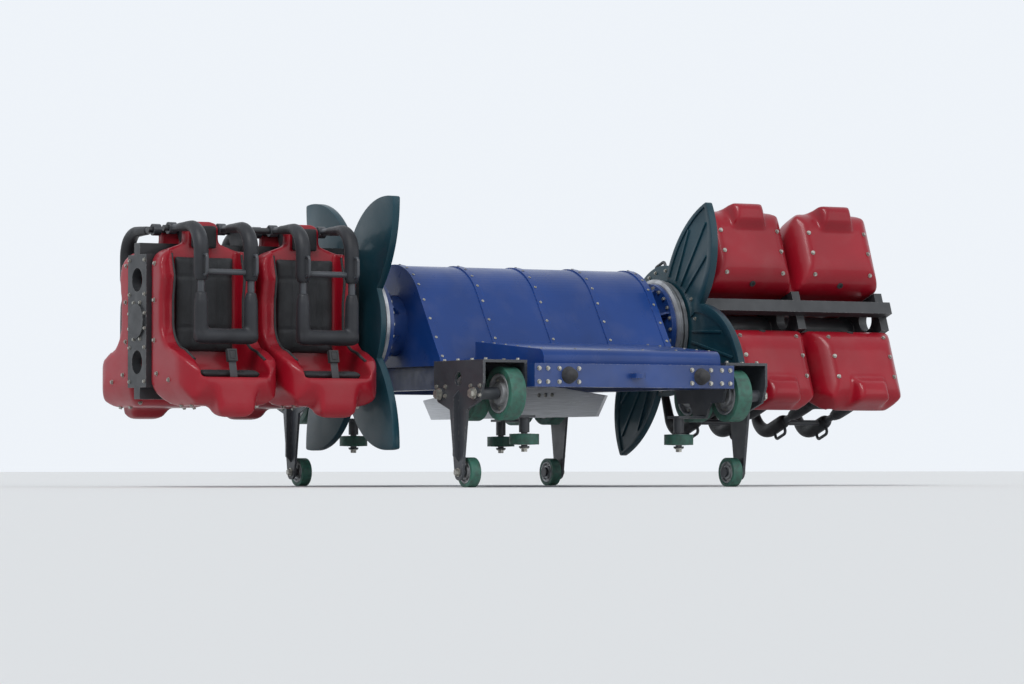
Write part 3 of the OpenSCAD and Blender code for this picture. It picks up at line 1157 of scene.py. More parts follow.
def ring_of(count: int, radius: float, start: float = 0.0) -> list[Vector]:
    """Spaces a number of points evenly round the Y axis, the first at an angle in degrees."""
    angles = [math.radians(start + 360 * index / count) for index in range(count)]
    return [Vector((radius * math.cos(angle), 0, radius * math.sin(angle))) for angle in angles]


# Sub-assemblies

@dataclass
class Fasteners:
    """Hexagon bolts with washers and round-headed screws, the same patterns for every plate."""

    hex_r: float = 0.011
    head_t: float = 0.009
    washer_r: float = 0.014
    washer_t: float = 0.0025
    button_r: float = 0.010
    button_t: float = 0.0026

    def bolt(self) -> Workpiece:
        """Models one bolt head and washer standing on +Z at the origin.

        Returns:
            The pattern.
        """
        washer = Workpiece.cylinder(self.washer_r, self.washer_t, (0, 0, self.washer_t / 2), sides=16)
        middle = (0, 0, self.washer_t + self.head_t / 2)
        head = Workpiece.cylinder(self.hex_r, self.head_t, middle, sides=6)
        head.carve(facing(UP), [(0.0016, 0.0008)])
        return washer.join([head])

    def button(self) -> Workpiece:
        """Models one round-headed screw with a socket, standing on +Z at the origin.

        Returns:
            The pattern.
        """
        head = Workpiece.cylinder(self.button_r, self.button_t, (0, 0, self.button_t / 2), sides=20)
        dome = [(0.0016, 0.0013), (0.0026, 0.0008), (0.0016, 0.0002)]
        socket = (0.0004, -0.0022)
        return head.carve(facing(UP), [*dome, socket]).smooth(50)

    def row(self, places: Iterable[Matrix], scale: float = 1.0, button: bool = False) -> Workpiece:
        """Models a set of bolts or screws as one piece.

        Args:
            places: A matrix for each one, taking +Z to its axis.
            scale: Size against the standard one.
            button: Whether they are round-headed screws.

        Returns:
            The joined heads.
        """
        pattern = (self.button() if button else self.bolt()).move(Matrix.Scale(scale, 4))
        copies = [pattern.twin(place) for place in places]
        pattern.discard()
        return copies[0].join(copies[1:])


@dataclass(frozen=True)
class WheelKind:
    """One size of wheel, modelled with its axle along Y."""

    radius: float
    width: float
    pin_r: float
    bolts: int
    bolt_scale: float
    rim_share: float = 0.74
    boss_share: float = 0.25
    flange_share: float = 0.07
    web_share: float = 0.24
    tread_share: float = 0.46
    hub_share: float = 0.475
    slope: float = 0.004

    @property
    def rim_r(self) -> float:
        """Radius at which the tread ends and the hub starts."""
        return self.rim_share * self.radius

    @property
    def boss_r(self) -> float:
        """Radius of the boss round the bearing."""
        return self.pin_r + self.boss_share * self.radius

    @property
    def web_y(self) -> float:
        """Half the thickness of the web between rim and boss."""
        return self.web_share * self.width

    def tread(self) -> Workpiece:
        """Models the cast tread as a ring with rounded shoulders and a recess towards the hub.

        Returns:
            The pattern.
        """
        half, depth = self.tread_share * self.width, (1 - self.rim_share) * self.radius
        steps = [(depth * 0.55, 0.0), (depth * 0.35, -0.004), (0.002, -0.6 * half)]
        piece = Workpiece.cylinder(self.radius, 2 * half, axis="Y", sides=72)
        for sign in (1, -1):
            piece.carve(facing((0, sign, 0)), steps)
        return piece.round_edges(0.006, 3, 60).smooth()

    def hub(self) -> Workpiece:
        """Models the hub: rim flange, dished web and a boss round the bearing on each face.

        Returns:
            The pattern.
        """
        half, flange = self.hub_share * self.width, self.flange_share * self.radius
        dish = self.rim_r - flange - self.slope - self.boss_r - self.slope
        steps = [(flange, -0.003), (self.slope, self.web_y - half + 0.003), (dish, 0.0),
                 (self.slope, half - self.web_y + 0.001), (self.boss_r - self.pin_r - 0.008, 0.0),
                 (0.002, -0.004)]
        piece = Workpiece.cylinder(self.rim_r, 2 * half, axis="Y", sides=48)
        for sign in (1, -1):
            piece.carve(facing((0, sign, 0)), steps)
        return piece.round_edges(0.0016, 2, 40).smooth()

    def bolt_circle(self, fasteners: Fasteners) -> Workpiece:
        """Models the hub's bolts on both faces.

        Args:
            fasteners: The bolts' patterns.

        Returns:
            The pattern.
        """
        ring = ring_of(self.bolts, 0.5 * (self.rim_r + self.boss_r) - 0.002, 30)
        places = [upright(at + Vector((0, sign * self.web_y, 0)), (0, sign, 0))
                  for sign in (1, -1) for at in ring]
        return fasteners.row(places, self.bolt_scale)


@dataclass
class Wheels:
    """All running, guide and up-stop wheels."""

    finishes: Finishes
    fasteners: Fasteners
    running: WheelKind = WheelKind(CAR.run_r, CAR.run_w, CAR.run_pin_r, 8, 0.8)
    small: WheelKind = WheelKind(CAR.small_r, CAR.small_w, CAR.small_pin_r, 6, 0.5)
    clearance: float = 0.025

    def places(self, corner: Corner) -> list[tuple[str, WheelKind, Matrix]]:
        """Lists a bogie's wheels.

        Args:
            corner: The bogie.

        Returns:
            Body, kind and place of each wheel.
        """
        side_y, side_z = -(CAR.rail_w / 2 + CAR.small_r), CAR.rail_top - CAR.rail_h / 2
        below_y = CAR.out_face - self.clearance - CAR.small_w / 2
        on_end = Matrix.Rotation(math.pi / 2, 4, "X")
        wheels = [("guide", self.small, Matrix.Translation((0, side_y, side_z)) @ on_end),
                  ("upstop", self.small, Matrix.Translation((0, below_y, CAR.small_r)))]
        for end in End:
            shift = Matrix.Translation((end.sign * CAR.tandem / 2, 0, CAR.run_z))
            wheels.append((f"run_{end.value}", self.running, shift))
        return [(f"{name}_{corner.name}", kind, corner.matrix @ place) for name, kind, place in wheels]

    def build(self) -> None:
        """Models each kind once and copies it to its places."""
        wheels = [wheel for corner in CORNERS for wheel in self.places(corner)]
        for kind in (self.running, self.small):
            mine = [(body, place) for body, own, place in wheels if own is kind]
            parts = (("tread", kind.tread(), self.finishes.tread), ("hub", kind.hub(), self.finishes.cast),
                     ("bolts", kind.bolt_circle(self.fasteners), self.finishes.zinc))
            for part, pattern, material in parts:
                pattern.spread(material, "wheels", [Spot(f"wheel_{body}_{part}", body, place, f"wheel_{body}")
                                                    for body, place in mine])


@dataclass
class BogieTrim:
    """Fasteners and axle nuts of the four bogies."""

    finishes: Finishes
    fasteners: Fasteners
    nut_t: float = 0.012
    guide_arm_t: float = 0.018
    lid_rise: float = 0.040
    lid_x: tuple[float, float] = (0.085, 0.25)
    keeper_x: float = 0.055
    keeper_z: tuple[float, float] = (-0.012, 0.045)
    lid_in: float = 0.02
    lid_out: float = 0.03
    nut_scale: float = 2.6
    small_nut_scale: float = 1.9

    def nuts(self) -> Workpiece:
        """Models the nuts on the running axles.

        Returns:
            The pattern, in the bogie's place.
        """
        face = CAR.out_face + CAR.plate_t + self.nut_t
        return self.fasteners.row([upright((sign * CAR.tandem / 2, face, CAR.run_z), LEFTWARD)
                                   for sign in (-1, 1)], self.nut_scale)

    def small_nuts(self) -> Workpiece:
        """Models the nuts on the axles of the up-stop and the guide wheel.

        Returns:
            The pattern, in the bogie's place.
        """
        guide_end = CAR.rail_top - CAR.rail_h / 2 - CAR.small_w / 2 - self.guide_arm_t
        places = [upright((0, CAR.out_face + CAR.plate_t, CAR.small_r), LEFTWARD),
                  upright((0, -(CAR.rail_w / 2 + CAR.small_r), guide_end), (0, 0, -1))]
        return self.fasteners.row(places, self.small_nut_scale)

    def bolts(self) -> Workpiece:
        """Models the bolts of the axle keepers and of the housing's lid.

        Returns:
            The pattern, in the bogie's place.
        """
        face, top = CAR.out_face + CAR.plate_t, CAR.run_z + CAR.run_r + self.lid_rise
        keepers = [upright((axle * CAR.tandem / 2 + sign * self.keeper_x, face, CAR.run_z + dz), LEFTWARD)
                   for axle in (-1, 1) for sign in (-1, 1) for dz in self.keeper_z]
        lid = [upright((sign * x, y, top), UP) for sign in (-1, 1) for x in self.lid_x
               for y in (CAR.in_face + self.lid_in, CAR.out_face - self.lid_out)]
        return self.fasteners.row(keepers + lid)

    def build(self) -> None:
        """Models one bogie's trim and copies it to the corners."""
        pattern = self.nuts().join([self.small_nuts(), self.bolts()])
        pattern.spread(self.finishes.zinc, "grey_steel",
                       [Spot(f"bogie_bolts_{corner.name}", "chassis", corner.matrix) for corner in CORNERS])


@dataclass
class CowlTrim:
    """Screws along the bands of the centre cowl and the edges of the two hoods."""

    finishes: Finishes
    fasteners: Fasteners
    scale: float = 0.9
    per_run: int = 4
    band_shares: tuple[float, ...] = (-1, -0.5, 0, 0.5, 1)
    foot_share: float = 1.3
    edge: float = 0.030
    hood_start: float = 0.012
    hood_over: float = 0.040
    hood_rise: float = 0.149
    nose_back: float = 0.0745
    nose_rise: float = 0.087
    side_steps: tuple[float, ...] = (0.05, 0.23, 0.41, 0.59, 0.77, 0.95)
    nose_shares: tuple[float, ...] = (-0.6, -0.2, 0.2, 0.6)

    def over_band(self, y: float) -> list[Matrix]:
        """Places screws over one band, from foot to foot.

        Args:
            y: Middle of the band.

        Returns:
            A matrix for each screw.
        """
        radius = CAR.cowl_r + CAR.band_t
        foot, rise = CAR.cowl_foot_x + self.foot_share * CAR.band_t, CAR.axle_z - CAR.beam_top
        start = math.pi / 2 - math.asin(radius / math.hypot(foot, rise)) - math.atan2(rise, foot)
        middle = Vector((0, y, CAR.axle_z))
        normal = Vector((math.cos(start), 0, math.sin(start)))
        steps = [(index + 0.5) / self.per_run for index in range(self.per_run)]
        heads = [((middle + normal * radius).lerp(Vector((foot, y, CAR.beam_top)), step), normal)
                 for step in steps]
        for step in steps:
            angle = start + (math.pi / 2 - start) * step
            out = Vector((math.cos(angle), 0, math.sin(angle)))
            heads.append((middle + out * radius, out))
        ways = (Vector((1, 1, 1)), Vector((-1, 1, 1)))
        return [upright(point * way, out * way) for point, out in heads for way in ways]

    def on_hood(self) -> list[Matrix]:
        """Places screws along the sides and the nose of the front hood.

        Returns:
            A matrix for each screw.
        """
        rear = Vector((CAR.cowl_foot_x + self.hood_start, 0, CAR.beam_top + self.hood_rise))
        nose = Vector((CAR.end_x - self.nose_back, 0, CAR.beam_top + self.nose_rise))
        half = CAR.beam_in + self.hood_over - self.edge
        normal = Vector((rear.z - nose.z, 0, nose.x - rear.x)).normalized()
        spots = [(step, sign * half) for step in self.side_steps for sign in (-1, 1)]
        spots += [(self.side_steps[-1], half * share) for share in self.nose_shares]
        return [upright(rear.lerp(nose, step) + Vector((0, y, 0)), normal) for step, y in spots]

    def build(self) -> None:
        """Models the screws of each cowl as one piece."""
        reach = CAR.cowl_y - CAR.band_w / 2
        places = [place for share in self.band_shares for place in self.over_band(share * reach)]
        screws = self.fasteners.row(places, self.scale, True)
        screws.fit("centre_cowl_screws", self.finishes.zinc, "chassis", "grey_steel")
        hood = self.fasteners.row(self.on_hood(), self.scale, True)
        hood.spread(self.finishes.zinc, "grey_steel",
                    [Spot(f"{end.value}_cowl_screws", "chassis", end.mirror) for end in End])


@dataclass
class BeamTrim:
    """Bolts of the end beams, the buffers, the brake plate and the axle housing's flanges."""

    finishes: Finishes
    fasteners: Fasteners
    flange_bolts: int = 24
    flange_edge: float = 0.052
    row_y: tuple[float, float] = (0.030, 0.090)
    half_row: float = 0.040
    buffer_share: float = 0.8
    buffer_y: float = 0.068
    hanger_y: float = 0.010
    hanger_drop: float = 0.030
    hanger_x: tuple[float, ...] = (-0.12, -0.04, 0.04)

    def end(self) -> Workpiece:
        """Models the bolts of the front end beam with its buffers and the brake plate's hanger.

        Returns:
            The pattern.
        """
        middle = CAR.beam_top - CAR.beam_h / 2
        signs = (-1, 1)
        places = [upright((CAR.end_x, side * (CAR.beam_in + dy), middle + dz * self.half_row), FORWARD)
                  for side in signs for dy in self.row_y for dz in signs]
        places += [upright((CAR.end_x, side * self.buffer_share * CAR.beam_in + dy * self.buffer_y,
                            middle + dz * self.half_row), FORWARD)
                   for side in signs for dy in signs for dz in signs]
        hanger_z = CAR.beam_top - CAR.beam_h - self.hanger_drop
        places += [upright((CAR.cross_x + dx, side * self.hanger_y, hanger_z), (0, side, 0))
                   for dx in self.hanger_x for side in signs]
        return self.fasteners.row(places)

    def flange(self) -> Workpiece:
        """Models the bolt circle on the left flange of the axle housing.

        Returns:
            The pattern.
        """
        centre = Vector((0, CAR.ring_y - CAR.flange_t, CAR.axle_z))
        ring = ring_of(self.flange_bolts, CAR.ring_r - self.flange_edge)
        return self.fasteners.row([upright(at + centre, (0, -1, 0)) for at in ring])

    def build(self) -> None:
        """Models the bolts of one end and of one flange and copies them."""
        self.end().spread(self.finishes.zinc, "grey_steel",
                          [Spot(f"end_bolts_{end.value}", "chassis", end.mirror) for end in End])
        self.flange().spread(self.finishes.zinc, "grey_steel",
                             [Spot(f"flange_bolts_{side.value}", "chassis", side.mirror) for side in Side])


@dataclass
class UnitTrim:
    """Bolts and weld beads on a seat unit's frame, and bolts on its fin shield."""

    finishes: Finishes
    fasteners: Fasteners
    bolt_scale: float = 0.88
    hub_bolts: int = 8
    hub_r: float = 0.119
    post_x: float = 0.105
    post_z: tuple[float, float] = (0.160, 0.365)
    shield_r: float = 0.388
    shield_angles: tuple[float, ...] = (6, 24, 80)
    bead_r: float = 0.006
    ripples: int = 30
    ripple: float = 0.010

    def bolts(self) -> Workpiece:
        """Models a unit's bolts, with the axle at the origin.

        Returns:
            The pattern.
        """
        end = Vector((0, CAR.unit_end, 0))
        signs = (-1, 1)
        places = [upright(at + end, LEFTWARD) for at in ring_of(self.hub_bolts, self.hub_r, 22.5)]
        places += [upright((sx * self.post_x, CAR.unit_end, sz * z), LEFTWARD)
                   for sx in signs for sz in signs for z in self.post_z]
        shield = CAR.frame_y - CAR.fin_t
        for angle in self.shield_angles:
            x = self.shield_r * math.cos(math.radians(angle))
            z = self.shield_r * math.sin(math.radians(angle))
            places += [upright((sx * x, shield, sz * z), (0, -1, 0)) for sx in signs for sz in signs]
        return self.fasteners.row(places, self.bolt_scale)

    def bead(self, y: float) -> Workpiece:
        """Models one rippled weld round the torque tube.

        Args:
            y: Where it lies, with the axle at the origin.

        Returns:
            The weld.
        """
        deselect()
        bpy.ops.mesh.primitive_torus_add(location=(0, y, 0), rotation=TURNS["Y"], major_segments=120,
                                         minor_segments=8, major_radius=CAR.tube_r + 0.002,
                                         minor_radius=self.bead_r)
        bpy.ops.object.transform_apply(location=True, rotation=True, scale=True)
        ring = Workpiece(bpy.context.object)
        for vertex in ring.obj.data.vertices:
            stretch = 1 + self.ripple * math.sin(self.ripples * math.atan2(vertex.co.z, vertex.co.x))
            vertex.co.x *= stretch
            vertex.co.z *= stretch
        return ring

    def beads(self) -> Workpiece:
        """Models the welds round the torque tube, where it meets the posts.

        Returns:
            The pattern.
        """
        middle, half = CAR.seat_y + CAR.seat_pitch, CAR.post_t / 2
        faces = (CAR.frame_y + CAR.post_t, middle - half, middle + half, CAR.unit_end - CAR.post_t)
        rings = [self.bead(y) for y in faces]
        return rings[0].join(rings[1:]).smooth(80)

    def build(self) -> None:
        """Models one unit's trim and copies it to both sides."""
        parts = (("bolts", self.bolts(), self.finishes.zinc, "grey_steel"),
                 ("welds", self.beads(), self.finishes.frame_steel, "dark_steel"))
        for part, pattern, material, slot in parts:
            pattern.spread(material, slot, [Spot(f"unit_{part}_{side.value}", side.unit, side.unit_matrix)
                                            for side in Side])


@dataclass
class RoundedPlates:
    """Fin shields and hoods with their moulded edges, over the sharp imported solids."""

    finishes: Finishes
    shield_edge: float = 0.007
    hood_edge: float = 0.006

    def soften(self, node: str, edge: float) -> Workpiece:
        """Rounds the edges of a copy of a node's solid."""
        return Workpiece.from_node(node).round_edges(edge, 2, 40).smooth(30)

    def build(self) -> None:
        """Models the two shields and the two hoods."""
        for side in Side:
            node = f"fin_shield_{side.value}"
            piece = self.soften(node, self.shield_edge)
            piece.fit(f"{node}_moulded", self.finishes.teal, side.unit, "teal_fins", node)
        for end in End:
            node = f"{end.value}_cowl"
            piece = self.soften(node, self.hood_edge)
            piece.fit(f"{node}_moulded", self.finishes.blue, "chassis", "blue_paint", node)


@dataclass
class Shells:
    """The twin seat shells, with moulded edges, and the bolts and drains on their outside."""

    finishes: Finishes
    fasteners: Fasteners
    edge: float = 0.016
    voxel: float = 0.012
    passes: int = 12
    outside: float = 1.0
    under_x: tuple[float, ...] = (0.22, 0.36, 0.50)
    under_y: float = 0.215
    beside_xz: tuple[Pair, ...] = ((0.20, 0.34), (0.20, 0.12), (0.20, -0.12), (0.24, -0.32), (0.40, -0.36))
    drain_x: float = 0.165
    drain_r: float = 0.021
    drain_t: float = 0.005

    def middles(self) -> tuple[float, float]:
        """Gives the distance of each seat's middle from the middle of the car."""
        return CAR.seat_y + 0.5 * CAR.seat_pitch, CAR.seat_y + 1.5 * CAR.seat_pitch

    def shell(self) -> Workpiece:
        """Rounds a copy of one shell and smooths it as a moulding.

        Returns:
            The pattern, with the axle at the origin.
        """
        piece = Workpiece.from_node("seat_shell_right_front").move(Side.RIGHT.unit_matrix.inverted())
        piece.pick(lambda centre, normal: True)
        bpy.ops.mesh.dissolve_limited(angle_limit=math.radians(1.5))
        deselect()
        piece.round_edges(self.edge, 3, 34)
        return piece.mould(self.voxel, self.passes)

    def bolts(self, shell: Workpiece) -> Workpiece:
        """Sets bolts into the underside of both seats and into the outer side wall.

        Args:
            shell: The rounded shell, with the axle at the origin.

        Returns:
            The bolts.
        """
        places = [shell.touch((x, middle + sign * self.under_y, -self.outside), UP)
                  for middle in self.middles() for x in self.under_x for sign in (-1, 1)]
        beside = CAR.unit_end + 0.5 * self.outside
        places += [shell.touch((x, beside, z), (0, -1, 0)) for x, z in self.beside_xz]
        return self.fasteners.row(places)

    def drains(self, shell: Workpiece) -> Workpiece:
        """Models a rubber drain grommet under each seat.

        Args:
            shell: The rounded shell, with the axle at the origin.

        Returns:
            The two grommets.
        """
        rings = []
        for middle in self.middles():
            ring = Workpiece.cylinder(self.drain_r, self.drain_t, (0, 0, self.drain_t / 2), sides=28)
            ring.carve(facing(UP), [(0.002, 0.0015), (0.007, 0.0), (0.0015, -0.0045)]).smooth(50)
            rings.append(ring.move(shell.touch((self.drain_x, middle, -self.outside), UP)))
        return rings[0].join(rings[1:])

    def build(self) -> None:
        """Rounds one shell and copies it, with its bolts and drains, to the four rows."""
        shell = self.shell()
        bolts, drains = self.bolts(shell), self.drains(shell)
        shell.spread(self.finishes.red, "red_shell",
                     [Spot(f"shell_{row.name}", row.unit, row.matrix, f"seat_shell_{row.name}")
                      for row in ROWS])
        bolts.spread(self.finishes.zinc, "grey_steel",
                     [Spot(f"shell_bolts_{row.name}", row.unit, row.matrix) for row in ROWS])
        drains.spread(self.finishes.rubber, "harness",
                      [Spot(f"shell_drains_{row.name}", row.unit, row.matrix) for row in ROWS])


@dataclass
class Cushions:
    """Foam pads of one seat: back, seat and head."""

    finishes: Finishes
    thickness: float = 0.042
    swell: float = 0.012
    edge: float = 0.012
    gap: float = 0.004
    side_gap: float = 0.025
    voxel: float = 0.011
    pressure: float = 4.0
    frames: int = 14
    seam: float = 0.009
    seam_depth: float = 0.007
    rim: float = 0.006
    back_foot: float = 0.142
    back_top: float = 0.036
    back_seam_y: float = 0.085
    back_seams_z: tuple[float, float] = (0.16, 0.13)
    seat_rear: float = 0.112
    seat_front: float = 0.026
    seat_lift: float = 0.003
    seat_seam_y: float = 0.075
    seat_seam_x: float = 0.06
    head_share: float = 0.4
    head_top: float = 0.026

    @property
    def core(self) -> float:
        """Thickness of a pad before it swells."""
        return self.thickness - self.swell

    def blow(self, piece: Workpiece) -> Workpiece:
        """Swells a pad as cloth under pressure.

        Args:
            piece: The closed form, slightly small.

        Returns:
            The same piece, crowned.
        """
        piece.modify("REMESH", mode="VOXEL", voxel_size=self.voxel)
        piece.activate()
        start = [vertex.co.copy() for vertex in piece.obj.data.vertices]
        cloth = piece.obj.modifiers.new("Cloth", "CLOTH")
        cloth.settings.use_pressure = True
        cloth.settings.uniform_pressure_force = self.pressure
        cloth.settings.effector_weights.gravity = 0.0
        cloth.point_cache.frame_end = self.frames
        scene = bpy.context.scene
        for number in range(1, self.frames + 1):
            scene.frame_set(number)
        bpy.ops.object.modifier_apply(modifier=cloth.name)
        scene.frame_set(1)
        for vertex, before in zip(piece.obj.data.vertices, start):
            step = vertex.co - before
            if step.length > self.swell:
                vertex.co = before + step * (self.swell / step.length)
        return piece.modify("SMOOTH", factor=0.5, iterations=2).smooth(80)

    def pad(self, low: Sequence[float], high: Sequence[float]) -> Workpiece:
        """Models a pad from a rounded box between two corners, which then swells."""
        return self.blow(Workpiece.box(low, high).round_edges(self.edge, 3))

    def channel(self, piece: Workpiece, seams: Sequence[tuple[int, float]], outward: Vector) -> Workpiece:
        """Presses sewn channels into the face that looks outward.

        Args:
            piece: The pad.
            seams: Axis index and position of each seam.
            outward: Direction that the padded face looks.

        Returns:
            The same piece.
        """
        for vertex in piece.obj.data.vertices:
            if vertex.normal.dot(outward) < 0.25:
                continue
            press = sum(math.exp(-((vertex.co[axis] - at) / self.seam) ** 2) for axis, at in seams)
            vertex.co -= outward * self.seam_depth * min(1.0, press)
        return piece

    def back(self) -> Workpiece:
        """Models the back pad, with two upright channels and two across.

        Returns:
            The pattern, in the seat's place.
        """
        low, high = -CAR.sit_z + self.back_foot, CAR.shoulder_z - self.back_top
        x, half = CAR.seat_line_x + self.gap, CAR.seat_in_w / 2 - self.side_gap
        piece = self.pad((x, -half, low + self.rim), (x + self.core, half, high))
        above, below = self.back_seams_z
        seams = ((1, -self.back_seam_y), (1, self.back_seam_y), (2, low + above), (2, high - below))
        return self.channel(piece, seams, Vector(FORWARD))

    def seat(self) -> Workpiece:
        """Models the seat pad, with two channels along and one across.

        Returns:
            The pattern, in the seat's place.
        """
        rear, front = CAR.seat_line_x + self.seat_rear, CAR.pan_x - self.seat_front
        z, half = -CAR.sit_z + self.seat_lift, CAR.seat_in_w / 2 - self.side_gap
        piece = self.pad((rear, -half, z), (front - self.rim, half, z + self.core))
        seams = ((1, -self.seat_seam_y), (1, self.seat_seam_y), (0, front - self.seat_seam_x))
        return self.channel(piece, seams, Vector(UP))

    def head(self) -> Workpiece:
        """Models the headrest pad.

        Returns:
            The pattern, in the seat's place.
        """
        x, half = CAR.seat_line_x + self.gap, self.head_share * CAR.head_w - self.rim
        low, high = CAR.shoulder_z + self.rim, CAR.head_z - self.head_top
        return self.pad((x, -half, low), (x + self.core, half, high))

    def build(self) -> None:
        """Models each pad once and copies it to the seats."""
        for name, pattern, fill in (("back", self.back(), 0.7), ("seat", self.seat(), 0.7),
                                    ("head", self.head(), 0.8)):
            spots = [Spot(f"pad_{name}_{seat.name}", seat.unit, seat.matrix, f"seat_pads_{seat.row.name}")
                     for seat in SEATS]
            for pad in pattern.spread(self.finishes.foam, "padding", spots):
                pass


@dataclass
class SeatTrim:
    """Rubber edging on the seats' side walls and the short belt between a rider's legs."""

    finishes: Finishes
    edging_r: float = 0.009
    bend_r: float = 0.180
    belt_l: float = 0.110
    half_belt: float = 0.024
    half_buckle: float = 0.031
    buckle_up: float = 0.096
    lean: float = -14.0
    foot_back: float = 0.012
    foot_lift: float = 0.001

    @property
    def belt_foot(self) -> Matrix:
        """Where the belt leaves the shell, upright."""
        return Matrix.Translation((CAR.pan_x - self.foot_back, 0, -CAR.sit_z + self.foot_lift))

    @property
    def leant(self) -> Matrix:
        """Where the belt leaves the shell, leaning back."""
        return self.belt_foot @ Matrix.Rotation(math.radians(self.lean), 4, "Y")

    def wall_edge(self, side: int) -> list[Vector]:
        """Follows the inner edge of a side wall from the lip to the shoulder.

        Args:
            side: Sign of Y.

        Returns:
            The points, in the seat's place.
        """
        y, front, low, back = side * (CAR.seat_in_w / 2 + 0.008), CAR.pan_x, -CAR.sit_z, CAR.back_x
        profile = [(front - 0.066, low + 0.105), (front - 0.130, low + 0.133), (front - 0.180, low + 0.158)]
        for index in range(9):
            angle = math.radians(258 - 68 * index / 8)
            profile.append((front - 0.184 + self.bend_r * math.cos(angle), self.bend_r * math.sin(angle)))
        profile += [(back + 0.146, 0.120), (back + 0.160, 0.200), (back + 0.168, 0.255),
                    (back + 0.152, 0.310), (back + 0.132, 0.370), (back + 0.125, 0.400)]
        return [Vector((x, y, z)) for x, z in profile]

    def edging(self) -> Workpiece:
        """Models the edging of both side walls."""
        parts = [Workpiece.tube(self.wall_edge(side), self.edging_r, 8) for side in (-1, 1)]
        return parts[0].join(parts[1:]).smooth(60)

    def belt(self) -> Workpiece:
        """Models the webbing that rises between seat pad and lip.

        Returns:
            The pattern, in the seat's place.
        """
        strap = Workpiece.box((-0.002, -self.half_belt, 0), (0.002, self.half_belt, self.belt_l))
        strap.round_edges(0.0015, 2).move(self.belt_foot).remember()
        return strap.move(self.leant @ self.belt_foot.inverted()).smooth()

    def buckle(self) -> Workpiece:
        """Models the buckle at the end of the webbing, with its slot and release button.

        Returns:
            The pattern, in the seat's place.
        """
        piece = Workpiece.box((-0.015, -self.half_buckle, 0), (0.015, self.half_buckle, 0.074))
        piece.carve(facing(UP), [(0.006, 0.0), (0.0025, -0.020)])
        piece.carve(facing(FORWARD), [(0.009, 0.0), (0.0015, -0.002), (0.004, 0.0), (0.001, 0.003)])
        piece.round_edges(0.003, 2, 40).smooth()
        return piece.move(self.leant @ Matrix.Translation((0, 0, self.buckle_up)))

    def build(self) -> None:
        """Models one seat's trim and copies it to the seats."""
        for name, pattern, material in (("edging", self.edging(), self.finishes.rubber),
                                        ("belt", self.belt(), self.finishes.strap),
                                        ("buckle", self.buckle(), self.finishes.rubber)):
            spots = [Spot(f"seat_{name}_{seat.name}", seat.unit, seat.matrix) for seat in SEATS]
            pattern.spread(material, "harness", spots)


